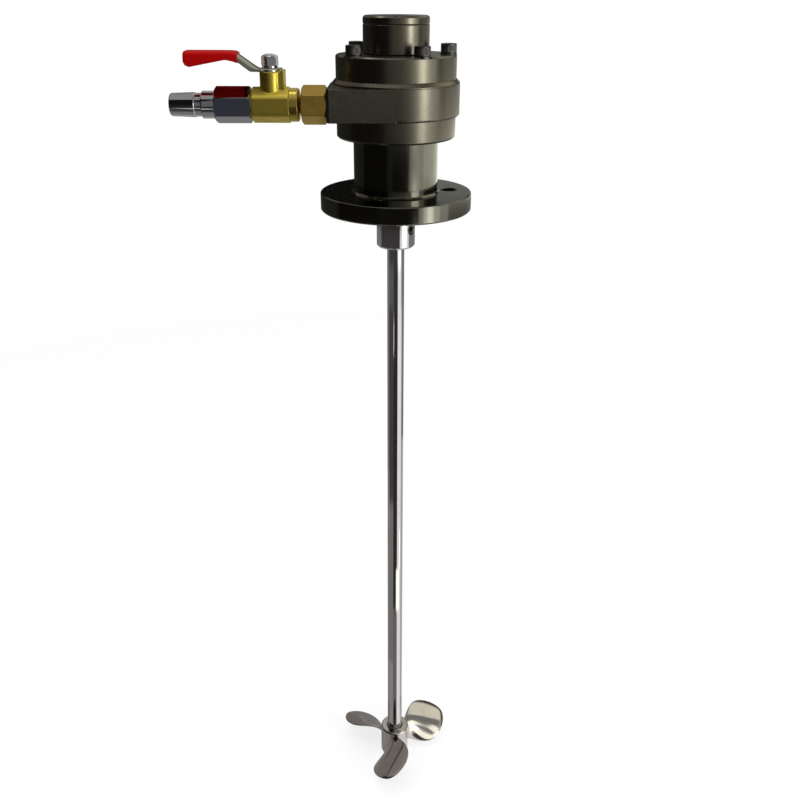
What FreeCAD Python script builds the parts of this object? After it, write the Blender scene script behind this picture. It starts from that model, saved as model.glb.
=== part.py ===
"""Pneumatic agitator: a vane air motor on a round mounting flange, a ball valve and coupler plug
on its air inlet, and a long stirring shaft with a three-bladed propeller.

Millimetres. The origin is the centre of the flange's underside, +Z is up along the shaft, the air
line leaves the motor towards -X, and the motor's flat front corner faces -Y.
"""
import FreeCAD, Part
import math
import os
import Sketcher

# Driving sizes

SIZES = {
    # Flange bracket
    "flange_diameter": 85,
    "flange_thickness": 10,
    "edge_chamfer": 0.8,
    "mounting_hole": 9,
    "mounting_circle": 60,
    "mounting_hole_count": 3,
    "mounting_hole_angle": 6.5,
    "neck_diameter": 47,
    "neck_bore": 30,
    "neck_fillet": 1,
    "bracket_height": 40,
    # Screws that hold the bracket to the motor, from below
    "bracket_screw": 4,
    "bracket_screw_head": 7,
    "bracket_screw_head_height": 4,
    "bracket_screw_engagement": 10,
    "bracket_screw_socket": 3,
    "bracket_screw_circle": 39.5,
    "bracket_screw_angle": 45,
    "bracket_screw_hole": 4.5,
    "counterbore_diameter": 8,
    "counterbore_depth": 5,
    # Lower end plate
    "end_plate_diameter": 65,
    "lower_plate_thickness": 11.5,
    "plate_chamfer": 1,
    "spigot_diameter": 32,
    "spigot_depth": 11.5,
    "plate_wall": 5,
    "shaft_hole": 10.4,
    "cover_thread_depth": 8.5,
    "circlip_thickness": 1.2,
    "circlip_groove_depth": 0.7,
    "circlip_width": 3,
    "circlip_opening": 5,
    "seal_height": 6,
    "seal_lip_height": 1.5,
    # Deep-groove ball bearings
    "bearing_outside": 22,
    "bearing_width": 6,
    "ring_thickness": 1.9,
    "ball_diameter": 3.175,
    "ball_count": 7,
    "cage_thickness": 0.9,
    "cage_height": 4.6,
    "relief_diameter": 16,
    "relief_depth": 0.4,
    # Cylinder block
    "block_diameter": 69,
    "block_height": 16.8,
    "block_chamfer": 1,
    "pad_proud": 1.2,
    "pad_back": 6,
    "corner_chamfer": 1.5,
    "cylinder_bore": 41,
    "cylinder_shift": 2.3,
    "inlet_thread": 9.7,
    "inlet_thread_depth": 9,
    "inlet_passage": 6.5,
    "exhaust_thread": 9.8,
    "exhaust_thread_depth": 7,
    "exhaust_flat": 33.4,
    "exhaust_flat_diameter": 15.5,
    "dowel_diameter": 4,
    "dowel_length": 26,
    "dowel_angle": 115,
    # Rotor and vanes
    "shaft_diameter": 10,
    "rotor_diameter": 36,
    "rotor_end_gap": 0.1,
    "vane_count": 4,
    "vane_thickness": 2,
    "vane_depth": 8.6,
    "vane_side_gap": 0.05,
    "motor_shaft_reach": 5,
    "motor_shaft_top": 4.6,
    "shaft_circlip_width": 2.6,
    "shaft_groove_depth": 0.35,
    # Upper end plate
    "upper_plate_thickness": 15,
    "foot_height": 2.5,
    "foot_rounding": 1.8,
    "spotface_diameter": 10,
    "spotface_depth": 0.8,
    # Bearing cap and its lid
    "cap_diameter": 35.5,
    "cap_height": 15,
    "cap_bore": 20,
    "cap_foot_chamfer": 0.6,
    "lid_thickness": 4.3,
    "lid_spigot": 3,
    "lid_chamfer": 1,
    "cap_screw": 3,
    "cap_screw_head": 5.6,
    "cap_screw_head_height": 1.7,
    "cap_screw_socket": 2,
    "cap_screw_length": 26,
    "cap_screw_circle": 28.8,
    "cap_screw_angle": 30,
    "cap_screw_hole": 3.3,
    # Screws that hold the motor together, from above
    "cover_screw": 5,
    "cover_screw_head": 8.5,
    "cover_screw_head_height": 5,
    "cover_screw_length": 40,
    "cover_screw_socket": 4,
    "cover_screw_circle": 56,
    "cover_screw_front_angle": 61.5,
    "cover_screw_side_angle": 141.5,
    "cover_screw_hole": 5.5,
    "washer_outside": 9,
    "washer_thickness": 1.2,
    "washer_slit": 0.8,
    # Coupling sleeve and stirring shaft
    "sleeve_diameter": 22,
    "sleeve_bottom": 22,
    "sleeve_top": 27,
    "sleeve_chamfer": 1.2,
    "set_screw": 6,
    "set_screw_length": 5.4,
    "set_screw_socket": 3,
    "set_screw_angle": -35,
    "lower_set_screw_level": -10.7,
    "upper_set_screw_level": 17,
    "shaft_top": 3,
    "shaft_recess": 2,
    "shaft_chamfer": 0.5,
    # Propeller
    "hub_diameter": 19.5,
    "hub_top": 384,
    "hub_height": 23,
    "hub_chamfer": 1.5,
    "hub_bore_chamfer": 0.8,
    "hub_screw": 5,
    "hub_screw_length": 4.3,
    "hub_screw_socket": 2.5,
    "hub_screw_level": 4.5,
    "right_blade_angle": 31.1,
    "left_blade_angle": 146.6,
    "front_blade_angle": 263.4,
    "right_blade_twist_angle": 2.6,
    "left_blade_twist_angle": -2.1,
    "front_blade_twist_angle": 3.3,
    "right_blade_drop": 9.8,
    "left_blade_drop": 11.7,
    "front_blade_drop": 8.5,
    "blade_tip": 42.2,
    "blade_pitch": 98,
    "blade_root_chord": 13.5,
    "blade_chord": 30,
    "blade_widest": 0.6,
    "blade_fullness": 1.72,
    "blade_sweep": 1.1,
    "blade_root_thickness": 3.2,
    "blade_tip_thickness": 1.3,
    "blade_edge_thickness": 0.8,
    "blade_camber": 0.05,
    # Air inlet line
    "port_offset": 10,
    "port_rise": 6.45,
    "seal_washer_outside": 15,
    "seal_washer_thickness": 1.1,
    "adaptor_flats": 18,
    "adaptor_length": 13.3,
    "adaptor_angle": 4,
    "adaptor_bore": 6,
    "thread_showing": 1.3,
    "hex_chamfer": 1.4,
    "inlet_engagement": 8.4,
    "outlet_engagement": 6.5,
    "body_flats": 17,
    "body_rounding": 2.2,
    "body_length": 19.9,
    "retainer_diameter": 17.4,
    "retainer_length": 5,
    "retainer_spigot": 14,
    "flow_bore": 5.5,
    "stem_to_retainer": 9.9,
    "ball_size": 9,
    "seat_outside": 12,
    "seat_face": 2.4,
    "seat_depth": 4.3,
    "plug_thread": 13.1,
    "plug_thread_length": 4.8,
    "boss_diameter": 11.4,
    "boss_top": 17,
    "lug_reach": 7.7,
    "lug_width": 7.6,
    "lug_rise": 1,
    "stem_diameter": 5,
    "stem_flats": 3.8,
    "stem_collar": 7,
    "stem_collar_height": 1.8,
    "stem_collar_level": 6.1,
    "stem_tang_thickness": 1.8,
    "stem_tang_width": 4.4,
    "stem_tang_reach": 3,
    "packing_diameter": 8.4,
    "packing_height": 3.8,
    # Valve lever
    "lever_thickness": 1.5,
    "lever_width": 9,
    "lever_eye": 10,
    "lever_ear_reach": 5.8,
    "lever_bend_near": 6.2,
    "lever_bend_far": 17.4,
    "lever_rise": 8.1,
    "lever_reach": 44,
    "flange_near": 10,
    "flange_far": 17.6,
    "flange_far_level": 5.7,
    "flange_crest": 22.6,
    "flange_crest_level": 6.8,
    "flange_tip_level": 3,
    "grip_start": 16.2,
    "grip_wall": 0.85,
    "grip_rounding": 0.8,
    "lever_washer_outside": 8.4,
    "lever_washer_thickness": 1.65,
    "nut_flats": 8,
    "nut_height": 3.9,
    "dome_height": 1.8,
    "nut_bore_depth": 4.9,
    # Coupler plug
    "plug_gap": 0.45,
    "plug_flats": 17,
    "plug_hex_length": 19.4,
    "plug_angle": -3,
    "collar_diameter": 14.3,
    "collar_length": 7,
    "groove_diameter": 12.2,
    "groove_length": 3.65,
    "nose_diameter": 12.9,
    "nose_length": 13.5,
    "nose_chamfer": 0.8,
    "plug_bore": 7.5,
    # Fits
    "fit_gap": 0.05,
    "thread_gap": 0.05,
    "stop_gap": 0.15,
}

doc = FreeCAD.newDocument("pneumatic_agitator")
sheet = doc.addObject("Spreadsheet::Sheet", "sizes")
for row, (size_name, size) in enumerate(SIZES.items(), start=1):
    sheet.set(f"A{row}", size_name)
    sheet.set(f"B{row}", str(size))
    sheet.setAlias(f"B{row}", size_name)
# The bracket's screws run from their counterbores, up the neck and into the end plate
row += 1
sheet.set(f"A{row}", "bracket_screw_length")
sheet.set(f"B{row}", "=bracket_height - counterbore_depth + bracket_screw_engagement")
sheet.setAlias(f"B{row}", "bracket_screw_length")
doc.recompute()


def size_of(text):
    """The number that an expression on the sheet gives now."""
    return float(sheet.evalExpression(text))


# Levels and places that several pieces share, as expressions on the sheet

BLOCK_BOTTOM = "(sizes.bracket_height + sizes.lower_plate_thickness)"
BLOCK_TOP = f"({BLOCK_BOTTOM} + sizes.block_height)"
PLATE_TOP = f"({BLOCK_TOP} + sizes.upper_plate_thickness)"
CAP_TOP = f"({PLATE_TOP} + sizes.cap_height)"
LID_TOP = f"({CAP_TOP} + sizes.lid_thickness)"
LOWER_BEARING = f"({BLOCK_BOTTOM} - sizes.plate_wall - sizes.bearing_width)"
UPPER_BEARING = f"({PLATE_TOP} - sizes.bearing_width)"
SCREW_SEAT = f"({PLATE_TOP} - sizes.spotface_depth)"
BALL_CIRCLE = "((sizes.bearing_outside + sizes.shaft_diameter) / 4)"
PORT_LEVEL = f"({BLOCK_BOTTOM} + sizes.port_rise)"
PAD_REACH = "(sizes.block_diameter / 2 + sizes.pad_proud)"
HEX_START = f"({PAD_REACH} + sizes.seal_washer_thickness)"
HEX_END = f"({HEX_START} + sizes.adaptor_length)"
RETAINER_START = f"({HEX_END} + sizes.thread_showing)"
BODY_START = f"({RETAINER_START} + sizes.retainer_length)"
BODY_END = f"({BODY_START} + sizes.body_length)"
STEM_PLACE = f"({BODY_START} + sizes.stem_to_retainer)"
SEAT_START = f"({STEM_PLACE} - sizes.seat_depth)"
SEAT_END = f"({STEM_PLACE} + sizes.seat_depth)"
PLUG_START = f"({BODY_END} + sizes.plug_gap)"
COLLAR_START = f"({PLUG_START} + sizes.plug_hex_length)"
GROOVE_START = f"({COLLAR_START} + sizes.collar_length)"
NOSE_START = f"({GROOVE_START} + sizes.groove_length)"
NOSE_END = f"({NOSE_START} + sizes.nose_length)"
LEVER_LEVEL = f"({PORT_LEVEL} + sizes.boss_top + 2 * sizes.fit_gap)"
NUT_LEVEL = f"({LEVER_LEVEL} + sizes.lever_thickness + sizes.lever_washer_thickness)"

NODES = []


def node(thing):
    """Note a finished sub-part, which is written under its label."""
    NODES.append(thing)
    return thing


def half(name):
    """The radius of a diameter on the sheet."""
    return f"sizes.{name} / 2"


# Sketches, bodies and features

def new_body(label):
    body = doc.addObject("PartDesign::Body", label)
    body.Label = label
    return body


def origin_feature(body, role):
    return next(feature for feature in body.Origin.OriginFeatures if feature.Role == role)


def new_sketch(body, role, level=None):
    """A sketch on one of the body's own origin planes, lifted along the plane's normal."""
    sketch = body.newObject("Sketcher::SketchObject", f"{body.Label}_sketch")
    sketch.AttachmentSupport = (origin_feature(body, role), [""])
    sketch.MapMode = "FlatFace"
    if level is not None:
        sketch.setExpression("AttachmentOffset.Base.z", level)
    return sketch


def bind(sketch, constraint, text):
    index = sketch.addConstraint(constraint)
    sketch.setExpression(f"Constraints[{index}]", text)


def polygon(sketch, points):
    """A closed outline, each corner held by two expressions measured from the origin."""
    corners = [FreeCAD.Vector(size_of(x), size_of(y), 0) for x, y in points]
    first = sketch.GeometryCount
    count = len(points)
    for index, corner in enumerate(corners):
        sketch.addGeometry(Part.LineSegment(corner, corners[(index + 1) % count]))
    for index in range(count):
        following = first + (index + 1) % count
        sketch.addConstraint(Sketcher.Constraint("Coincident", first + index, 2, following, 1))
    for index, (x, y) in enumerate(points):
        line = first + index
        bind(sketch, Sketcher.Constraint("DistanceX", -1, 1, line, 1, corners[index].x), x)
        bind(sketch, Sketcher.Constraint("DistanceY", -1, 1, line, 1, corners[index].y), y)
    return sketch


def circle(sketch, radius, x="0", y="0"):
    centre = FreeCAD.Vector(size_of(x), size_of(y), 0)
    shape = Part.Circle(centre, FreeCAD.Vector(0, 0, 1), size_of(radius))
    index = sketch.addGeometry(shape)
    bind(sketch, Sketcher.Constraint("Radius", index, size_of(radius)), radius)
    bind(sketch, Sketcher.Constraint("DistanceX", -1, 1, index, 3, centre.x), x)
    bind(sketch, Sketcher.Constraint("DistanceY", -1, 1, index, 3, centre.y), y)
    return sketch


def hexagon(sketch, flats, turn="0"):
    """A hexagon on the origin by its width across flats, one corner on the sketch's X axis."""
    corner = f"{flats} / 2 / cos(30 deg)"
    points = []
    for index in range(6):
        angle = f"(({turn} + {60 * index}) * 1 deg)"
        points.append((f"{corner} * cos{angle}", f"{corner} * sin{angle}"))
    return polygon(sketch, points)


def box_outline(sketch, left, right, low, high):
    return polygon(sketch, [(left, low), (right, low), (right, high), (left, high)])


def revolve(body, points, kind="PartDesign::Revolution"):
    """Turn an outline of radius and height round the body's Z axis."""
    sketch = polygon(new_sketch(body, "XZ_Plane"), points)
    feature = body.newObject(kind, f"{body.Label}_turned")
    feature.Profile = sketch
    feature.ReferenceAxis = (sketch, ["V_Axis"])
    feature.Angle = 360
    return feature


def turned(label, points):
    """A piece that is made on a lathe from one outline."""
    body = new_body(label)
    revolve(body, points)
    return body


def pad(body, sketch, length, both_ways=False, backwards=False):
    feature = body.newObject("PartDesign::Pad", f"{body.Label}_pad")
    feature.Profile = sketch
    feature.setExpression("Length", length)
    feature.Reversed = backwards
    if both_ways:
        feature.SideType = "Symmetric"
    return feature


def pocket(body, sketch, depth=None, forwards=False):
    """Cut down from the sketch by a depth, or right through both ways where none is given."""
    feature = body.newObject("PartDesign::Pocket", f"{body.Label}_pocket")
    feature.Profile = sketch
    feature.Reversed = forwards
    if depth is None:
        feature.Type = "ThroughAll"
        feature.SideType = "Symmetric"
    else:
        feature.setExpression("Length", depth)
    return feature


def around(body, feature, count):
    """Repeat a feature round the body's Z axis."""
    pattern = body.newObject("PartDesign::PolarPattern", f"{body.Label}_pattern")
    pattern.Originals = [feature]
    pattern.Axis = (origin_feature(body, "Z_Axis"), [""])
    pattern.Angle = 360
    pattern.setExpression("Occurrences", count)
    body.Tip = pattern
    return pattern


def place(thing, x="0", y="0", level="0"):
    for axis, text in zip("xyz", (x, y, level)):
        if text != "0":
            thing.setExpression(f"Placement.Base.{axis}", text)
    return thing


def lay_along_inlet(body):
    """Stand a piece made round Z on the air line: its Z runs outwards, towards -X, its X up."""
    body.Placement = FreeCAD.Placement(
        FreeCAD.Vector(0, 0, 0), FreeCAD.Rotation(FreeCAD.Vector(0, 1, 0), -90))
    return place(body, y="-sizes.port_offset", level=PORT_LEVEL)


def on_circle(circle_size, turn):
    """The two coordinates of a point on a circle of the sheet, at an angle in degrees."""
    angle = f"(({turn}) * 1 deg)"
    return f"sizes.{circle_size} / 2 * cos{angle}", f"sizes.{circle_size} / 2 * sin{angle}"


def cylinder(label, radius, height, x="0", y="0", level="0"):
    thing = doc.addObject("Part::Cylinder", label)
    thing.Label = label
    thing.setExpression("Radius", radius)
    thing.setExpression("Height", height)
    return place(thing, x, y, level)


def cut(label, base, tool):
    thing = doc.addObject("Part::Cut", label)
    thing.Label = label
    thing.Base = base
    thing.Tool = tool
    return thing


def fuse(label, pieces):
    thing = doc.addObject("Part::MultiFuse", label)
    thing.Label = label
    thing.Shapes = pieces
    return thing


def group(label, pieces):
    """Like pieces that stay separate solids in one node."""
    thing = doc.addObject("Part::Compound", label)
    thing.Label = label
    thing.Links = pieces
    return thing


def socket_screw(label, prefix, turn_text, circle_size, seat, downwards=True):
    """A socket head cap screw on a bolt circle, its head standing on the seat level."""
    sign = "-" if downwards else ""
    x, y = on_circle(circle_size, turn_text)
    head_height = f"sizes.{prefix}_head_height"
    body = new_body(label)
    hand = "1" if downwards else "-1"
    ease = "0.08 * sizes.%s" % prefix
    rim = f"sizes.{prefix}_head / 2"
    revolve(body, [
        ("0", f"{sign}sizes.{prefix}_length"),
        (f"sizes.{prefix} / 2 - {ease}", f"{sign}sizes.{prefix}_length"),
        (f"sizes.{prefix} / 2", f"{sign}(sizes.{prefix}_length - {ease})"),
        (f"sizes.{prefix} / 2", "0"),
        (rim, "0"),
        (rim, f"{hand} * ({head_height} - {ease})"),
        (f"{rim} - {ease}", f"{hand} * {head_height}"),
        ("0", f"{hand} * {head_height}"),
    ])
    sketch = hexagon(new_sketch(body, "XY_Plane", f"{hand} * {head_height}"),
                     f"sizes.{prefix}_socket")
    pocket(body, sketch, f"{head_height} * 0.5", forwards=not downwards)
    return place(body, x, y, seat)


def set_screw(label, prefix, turn_text, level, tip):
    """A set screw that lies along a radius, its tip at a distance from the axis."""
    body = new_body(label)
    pad(body, circle(new_sketch(body, "YZ_Plane", tip), f"sizes.{prefix} / 2"),
        f"sizes.{prefix}_length")
    outer = f"{tip} + sizes.{prefix}_length"
    sketch = hexagon(new_sketch(body, "YZ_Plane", outer), f"sizes.{prefix}_socket")
    pocket(body, sketch, f"sizes.{prefix}_length * 0.5")
    body.Placement = FreeCAD.Placement(
        FreeCAD.Vector(0, 0, 0), FreeCAD.Rotation(FreeCAD.Vector(0, 0, 1), size_of(turn_text)))
    return place(body, level=level)


# Flange bracket: one turned piece, flange below and neck above

flange_bracket = turned("flange_bracket", [
    (half("neck_bore"), "0"),
    ("sizes.flange_diameter / 2 - sizes.edge_chamfer", "0"),
    (half("flange_diameter"), "sizes.edge_chamfer"),
    (half("flange_diameter"), "sizes.flange_thickness - sizes.edge_chamfer"),
    ("sizes.flange_diameter / 2 - sizes.edge_chamfer", "sizes.flange_thickness"),
    ("sizes.neck_diameter / 2 + sizes.neck_fillet", "sizes.flange_thickness"),
    (half("neck_diameter"), "sizes.flange_thickness + sizes.neck_fillet"),
    (half("neck_diameter"), "sizes.bracket_height"),
    ("sizes.spigot_diameter / 2 + sizes.fit_gap", "sizes.bracket_height"),
    ("sizes.spigot_diameter / 2 + sizes.fit_gap",
     "sizes.bracket_height - sizes.spigot_depth - 1"),
    (half("neck_bore"), "sizes.bracket_height - sizes.spigot_depth - 1"),
])
around(flange_bracket,
       pocket(flange_bracket,
              circle(new_sketch(flange_bracket, "XY_Plane", "sizes.flange_thickness"),
                     half("mounting_hole"),
                     *on_circle("mounting_circle", "sizes.mounting_hole_angle")),
              "sizes.flange_thickness"),
       "sizes.mounting_hole_count")
around(flange_bracket,
       pocket(flange_bracket,
              circle(new_sketch(flange_bracket, "XY_Plane", "sizes.bracket_height"),
                     half("bracket_screw_hole"),
                     *on_circle("bracket_screw_circle", "sizes.bracket_screw_angle")),
              "sizes.bracket_height"),
       "4")
around(flange_bracket,
       pocket(flange_bracket,
              circle(new_sketch(flange_bracket, "XY_Plane", "sizes.counterbore_depth"),
                     half("counterbore_diameter"),
                     *on_circle("bracket_screw_circle", "sizes.bracket_screw_angle")),
              "sizes.counterbore_depth"),
       "4")
node(flange_bracket)

node(group("bracket_screws", [
    socket_screw(f"bracket_screw_{index + 1}", "bracket_screw",
                 f"sizes.bracket_screw_angle + {90 * index}", "bracket_screw_circle",
                 "sizes.counterbore_depth", downwards=False)
    for index in range(4)]))


# Lower end plate: carries the lower bearing and the shaft seal, and centres the bracket

COVER_TURNS = ["0",
               "sizes.cover_screw_front_angle", "-sizes.cover_screw_front_angle",
               "sizes.cover_screw_side_angle", "-sizes.cover_screw_side_angle"]
DOWEL_TURNS = ["sizes.dowel_angle", "-sizes.dowel_angle"]


def circles_on(sketch, radius, circle_size, turns):
    for turn_text in turns:
        circle(sketch, radius, *on_circle(circle_size, turn_text))
    return sketch


def drill(body, top, depth, radius, circle_size, turns):
    """Like holes from one level down, on a bolt circle."""
    sketch = circles_on(new_sketch(body, "XY_Plane", top), radius, circle_size, turns)
    return pocket(body, sketch, depth)


SPIGOT_BOTTOM = "(sizes.bracket_height - sizes.spigot_depth)"
POCKET = half("bearing_outside")
lower_end_plate = turned("lower_end_plate", [
    (half("shaft_hole"), BLOCK_BOTTOM),
    (half("end_plate_diameter"), BLOCK_BOTTOM),
    (half("end_plate_diameter"), "sizes.bracket_height + sizes.plate_chamfer"),
    ("sizes.end_plate_diameter / 2 - sizes.plate_chamfer", "sizes.bracket_height"),
    (half("spigot_diameter"), "sizes.bracket_height"),
    (half("spigot_diameter"), SPIGOT_BOTTOM),
    (POCKET, SPIGOT_BOTTOM),
    (POCKET, f"{LOWER_BEARING} - sizes.circlip_thickness"),
    (f"{POCKET} + sizes.circlip_groove_depth", f"{LOWER_BEARING} - sizes.circlip_thickness"),
    (f"{POCKET} + sizes.circlip_groove_depth", LOWER_BEARING),
    (POCKET, LOWER_BEARING),
    (POCKET, f"{BLOCK_BOTTOM} - sizes.plate_wall"),
    (half("relief_diameter"), f"{BLOCK_BOTTOM} - sizes.plate_wall"),
    (half("relief_diameter"), f"{BLOCK_BOTTOM} - sizes.plate_wall + sizes.relief_depth"),
    (half("shaft_hole"), f"{BLOCK_BOTTOM} - sizes.plate_wall + sizes.relief_depth"),
])
drill(lower_end_plate, BLOCK_BOTTOM, "sizes.cover_thread_depth",
      "sizes.cover_screw / 2 + sizes.thread_gap", "cover_screw_circle", COVER_TURNS)
drill(lower_end_plate, BLOCK_BOTTOM, "(sizes.dowel_length - sizes.block_height) / 2",
      half("dowel_diameter"), "cover_screw_circle", DOWEL_TURNS)
BRACKET_THREAD_DEPTH = "(sizes.bracket_screw_engagement + 0.5)"
drill(lower_end_plate, f"sizes.bracket_height + {BRACKET_THREAD_DEPTH}", BRACKET_THREAD_DEPTH,
      "sizes.bracket_screw / 2 + sizes.thread_gap", "bracket_screw_circle",
      [f"sizes.bracket_screw_angle + {90 * index}" for index in range(4)])
node(lower_end_plate)


# Shaft seal: a rubber ring under the lower bearing, its lip just clear of the shaft

SEAL_TOP = f"({LOWER_BEARING} - sizes.circlip_thickness - 0.8)"
SEAL_BOTTOM = f"({SEAL_TOP} - sizes.seal_height)"
node(turned("shaft_seal", [
    (f"{POCKET} - 3", SEAL_BOTTOM),
    (POCKET, SEAL_BOTTOM),
    (POCKET, SEAL_TOP),
    ("sizes.shaft_diameter / 2 + sizes.fit_gap", SEAL_TOP),
    ("sizes.shaft_diameter / 2 + sizes.fit_gap", f"{SEAL_TOP} - sizes.seal_lip_height"),
    (f"{POCKET} - 3", f"{SEAL_TOP} - sizes.seal_lip_height"),
]))


# Circlips: one inside the lower bearing's pocket, one on the top of the motor shaft

def circlip(label, inner, outer, bottom, thickness):
    """An open ring of sheet, cut through on its -Y side."""
    body = turned(label, [(inner, bottom), (outer, bottom),
                          (outer, f"{bottom} + {thickness}"), (inner, f"{bottom} + {thickness}")])
    sketch = box_outline(new_sketch(body, "XY_Plane", f"{bottom} + {thickness}"),
                         "-sizes.circlip_opening / 2", "sizes.circlip_opening / 2",
                         f"-({outer} + 1)", "0")
    pocket(body, sketch, thickness)
    return body


node(circlip("bearing_circlip",
             f"({POCKET} + sizes.circlip_groove_depth - sizes.circlip_width)",
             f"({POCKET} + sizes.circlip_groove_depth)",
             f"({LOWER_BEARING} - sizes.circlip_thickness)", "sizes.circlip_thickness"))
SHAFT_GROOVE = "(sizes.shaft_diameter / 2 - sizes.shaft_groove_depth)"
node(circlip("shaft_circlip", SHAFT_GROOVE, f"({SHAFT_GROOVE} + sizes.shaft_circlip_width)",
             PLATE_TOP, "sizes.circlip_thickness"))


# Ball bearings: rings with a ball groove, seven balls and a cage that carries them round

def bearing_ring(label, inner, outer, bottom):
    body = turned(label, [(inner, bottom), (outer, bottom),
                          (outer, f"{bottom} + sizes.bearing_width"),
                          (inner, f"{bottom} + sizes.bearing_width")])
    sketch = circle(new_sketch(body, "XZ_Plane"), "sizes.ball_diameter / 2 + sizes.fit_gap",
                    BALL_CIRCLE, f"{bottom} + sizes.bearing_width / 2")
    groove = body.newObject("PartDesign::Groove", f"{label}_race")
    groove.Profile = sketch
    groove.ReferenceAxis = (sketch, ["V_Axis"])
    groove.Angle = 360
    return body


def ball_set(label, bottom):
    middle = f"({bottom} + sizes.bearing_width / 2)"
    cage = turned(f"{label}_cage", [
        (f"{BALL_CIRCLE} - sizes.cage_thickness / 2", f"{middle} - sizes.cage_height / 2"),
        (f"{BALL_CIRCLE} + sizes.cage_thickness / 2", f"{middle} - sizes.cage_height / 2"),
        (f"{BALL_CIRCLE} + sizes.cage_thickness / 2", f"{middle} + sizes.cage_height / 2"),
        (f"{BALL_CIRCLE} - sizes.cage_thickness / 2", f"{middle} + sizes.cage_height / 2"),
    ])
    window = circle(new_sketch(cage, "YZ_Plane"), "sizes.ball_diameter / 2 + sizes.fit_gap",
                    "0", middle)
    around(cage, pocket(cage, window, "sizes.bearing_outside", forwards=True),
           "sizes.ball_count")
    pieces = [cage]
    count = int(SIZES["ball_count"])
    for index in range(count):
        ball = doc.addObject("Part::Sphere", f"{label}_ball_{index + 1}")
        ball.setExpression("Radius", "sizes.ball_diameter / 2")
        angle = f"({index} * 360 / sizes.ball_count * 1 deg)"
        place(ball, f"{BALL_CIRCLE} * cos{angle}", f"{BALL_CIRCLE} * sin{angle}", middle)
        pieces.append(ball)
    return group(label, pieces)


for bearing, level in (("lower", LOWER_BEARING), ("upper", UPPER_BEARING)):
    node(bearing_ring(f"{bearing}_bearing_outer_ring",
                      f"(sizes.bearing_outside / 2 - sizes.ring_thickness)",
                      "(sizes.bearing_outside / 2)", level))
    node(bearing_ring(f"{bearing}_bearing_inner_ring", "(sizes.shaft_diameter / 2)",
                      f"(sizes.shaft_diameter / 2 + sizes.ring_thickness)", level))
    node(ball_set(f"{bearing}_ball_set", level))


# Cylinder block: round, with a square pad for the inlet at the front left and an eccentric bore

cylinder_block = turned("cylinder_block", [
    ("0", BLOCK_BOTTOM),
    ("sizes.block_diameter / 2 - sizes.block_chamfer", BLOCK_BOTTOM),
    (half("block_diameter"), f"{BLOCK_BOTTOM} + sizes.block_chamfer"),
    (half("block_diameter"), BLOCK_TOP),
    ("0", BLOCK_TOP),
])
pad(cylinder_block, polygon(new_sketch(cylinder_block, "XY_Plane", BLOCK_BOTTOM), [
    ("0", "-sizes.block_diameter / 2"),
    ("0", "sizes.pad_back"),
    (f"-{PAD_REACH}", "sizes.pad_back"),
    (f"-{PAD_REACH}", "-sizes.block_diameter / 2 + sizes.corner_chamfer"),
    (f"-{PAD_REACH} + sizes.corner_chamfer", "-sizes.block_diameter / 2"),
]), "sizes.block_height")
pocket(cylinder_block, circle(new_sketch(cylinder_block, "XY_Plane", BLOCK_TOP),
                              half("cylinder_bore"), "sizes.cylinder_shift"),
       "sizes.block_height")
drill(cylinder_block, BLOCK_TOP, "sizes.block_height", half("cover_screw_hole"),
      "cover_screw_circle", COVER_TURNS)
drill(cylinder_block, BLOCK_TOP, "sizes.block_height", half("dowel_diameter"),
      "cover_screw_circle", DOWEL_TURNS)
inlet_thread = circle(new_sketch(cylinder_block, "YZ_Plane", f"-{PAD_REACH}"),
                      "sizes.inlet_thread / 2 + sizes.thread_gap",
                      "-sizes.port_offset", PORT_LEVEL)
pocket(cylinder_block, inlet_thread, "sizes.inlet_thread_depth", forwards=True)
inlet_passage = circle(new_sketch(cylinder_block, "YZ_Plane", f"-{PAD_REACH}"),
                       half("inlet_passage"), "-sizes.port_offset", PORT_LEVEL)
pocket(cylinder_block, inlet_passage, f"{PAD_REACH} - sizes.port_offset", forwards=True)
BLOCK_MIDDLE = f"({BLOCK_BOTTOM} + sizes.block_height / 2)"
exhaust_flat = circle(new_sketch(cylinder_block, "XZ_Plane", "-sizes.block_diameter"),
                      half("exhaust_flat_diameter"), "0", BLOCK_MIDDLE)
pocket(cylinder_block, exhaust_flat, "sizes.block_diameter - sizes.exhaust_flat", forwards=True)
exhaust_thread = circle(new_sketch(cylinder_block, "XZ_Plane", "-sizes.block_diameter"),
                        half("exhaust_thread"), "0", BLOCK_MIDDLE)
pocket(cylinder_block, exhaust_thread,
       "sizes.block_diameter - sizes.exhaust_flat + sizes.exhaust_thread_depth", forwards=True)
exhaust_passage = circle(new_sketch(cylinder_block, "XZ_Plane", "-sizes.block_diameter"),
                         "sizes.exhaust_thread / 2 - 1.2", "0", BLOCK_MIDDLE)
pocket(cylinder_block, exhaust_passage, "sizes.block_diameter - 10", forwards=True)
node(cylinder_block)

node(group("dowel_pins", [
    cylinder(f"dowel_pin_{index + 1}", half("dowel_diameter"), "sizes.dowel_length",
             *on_circle("cover_screw_circle", turn_text),
             f"{BLOCK_MIDDLE} - sizes.dowel_length / 2")
    for index, turn_text in enumerate(DOWEL_TURNS)]))


# Rotor with its shaft: one turned piece with milled vane slots

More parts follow.
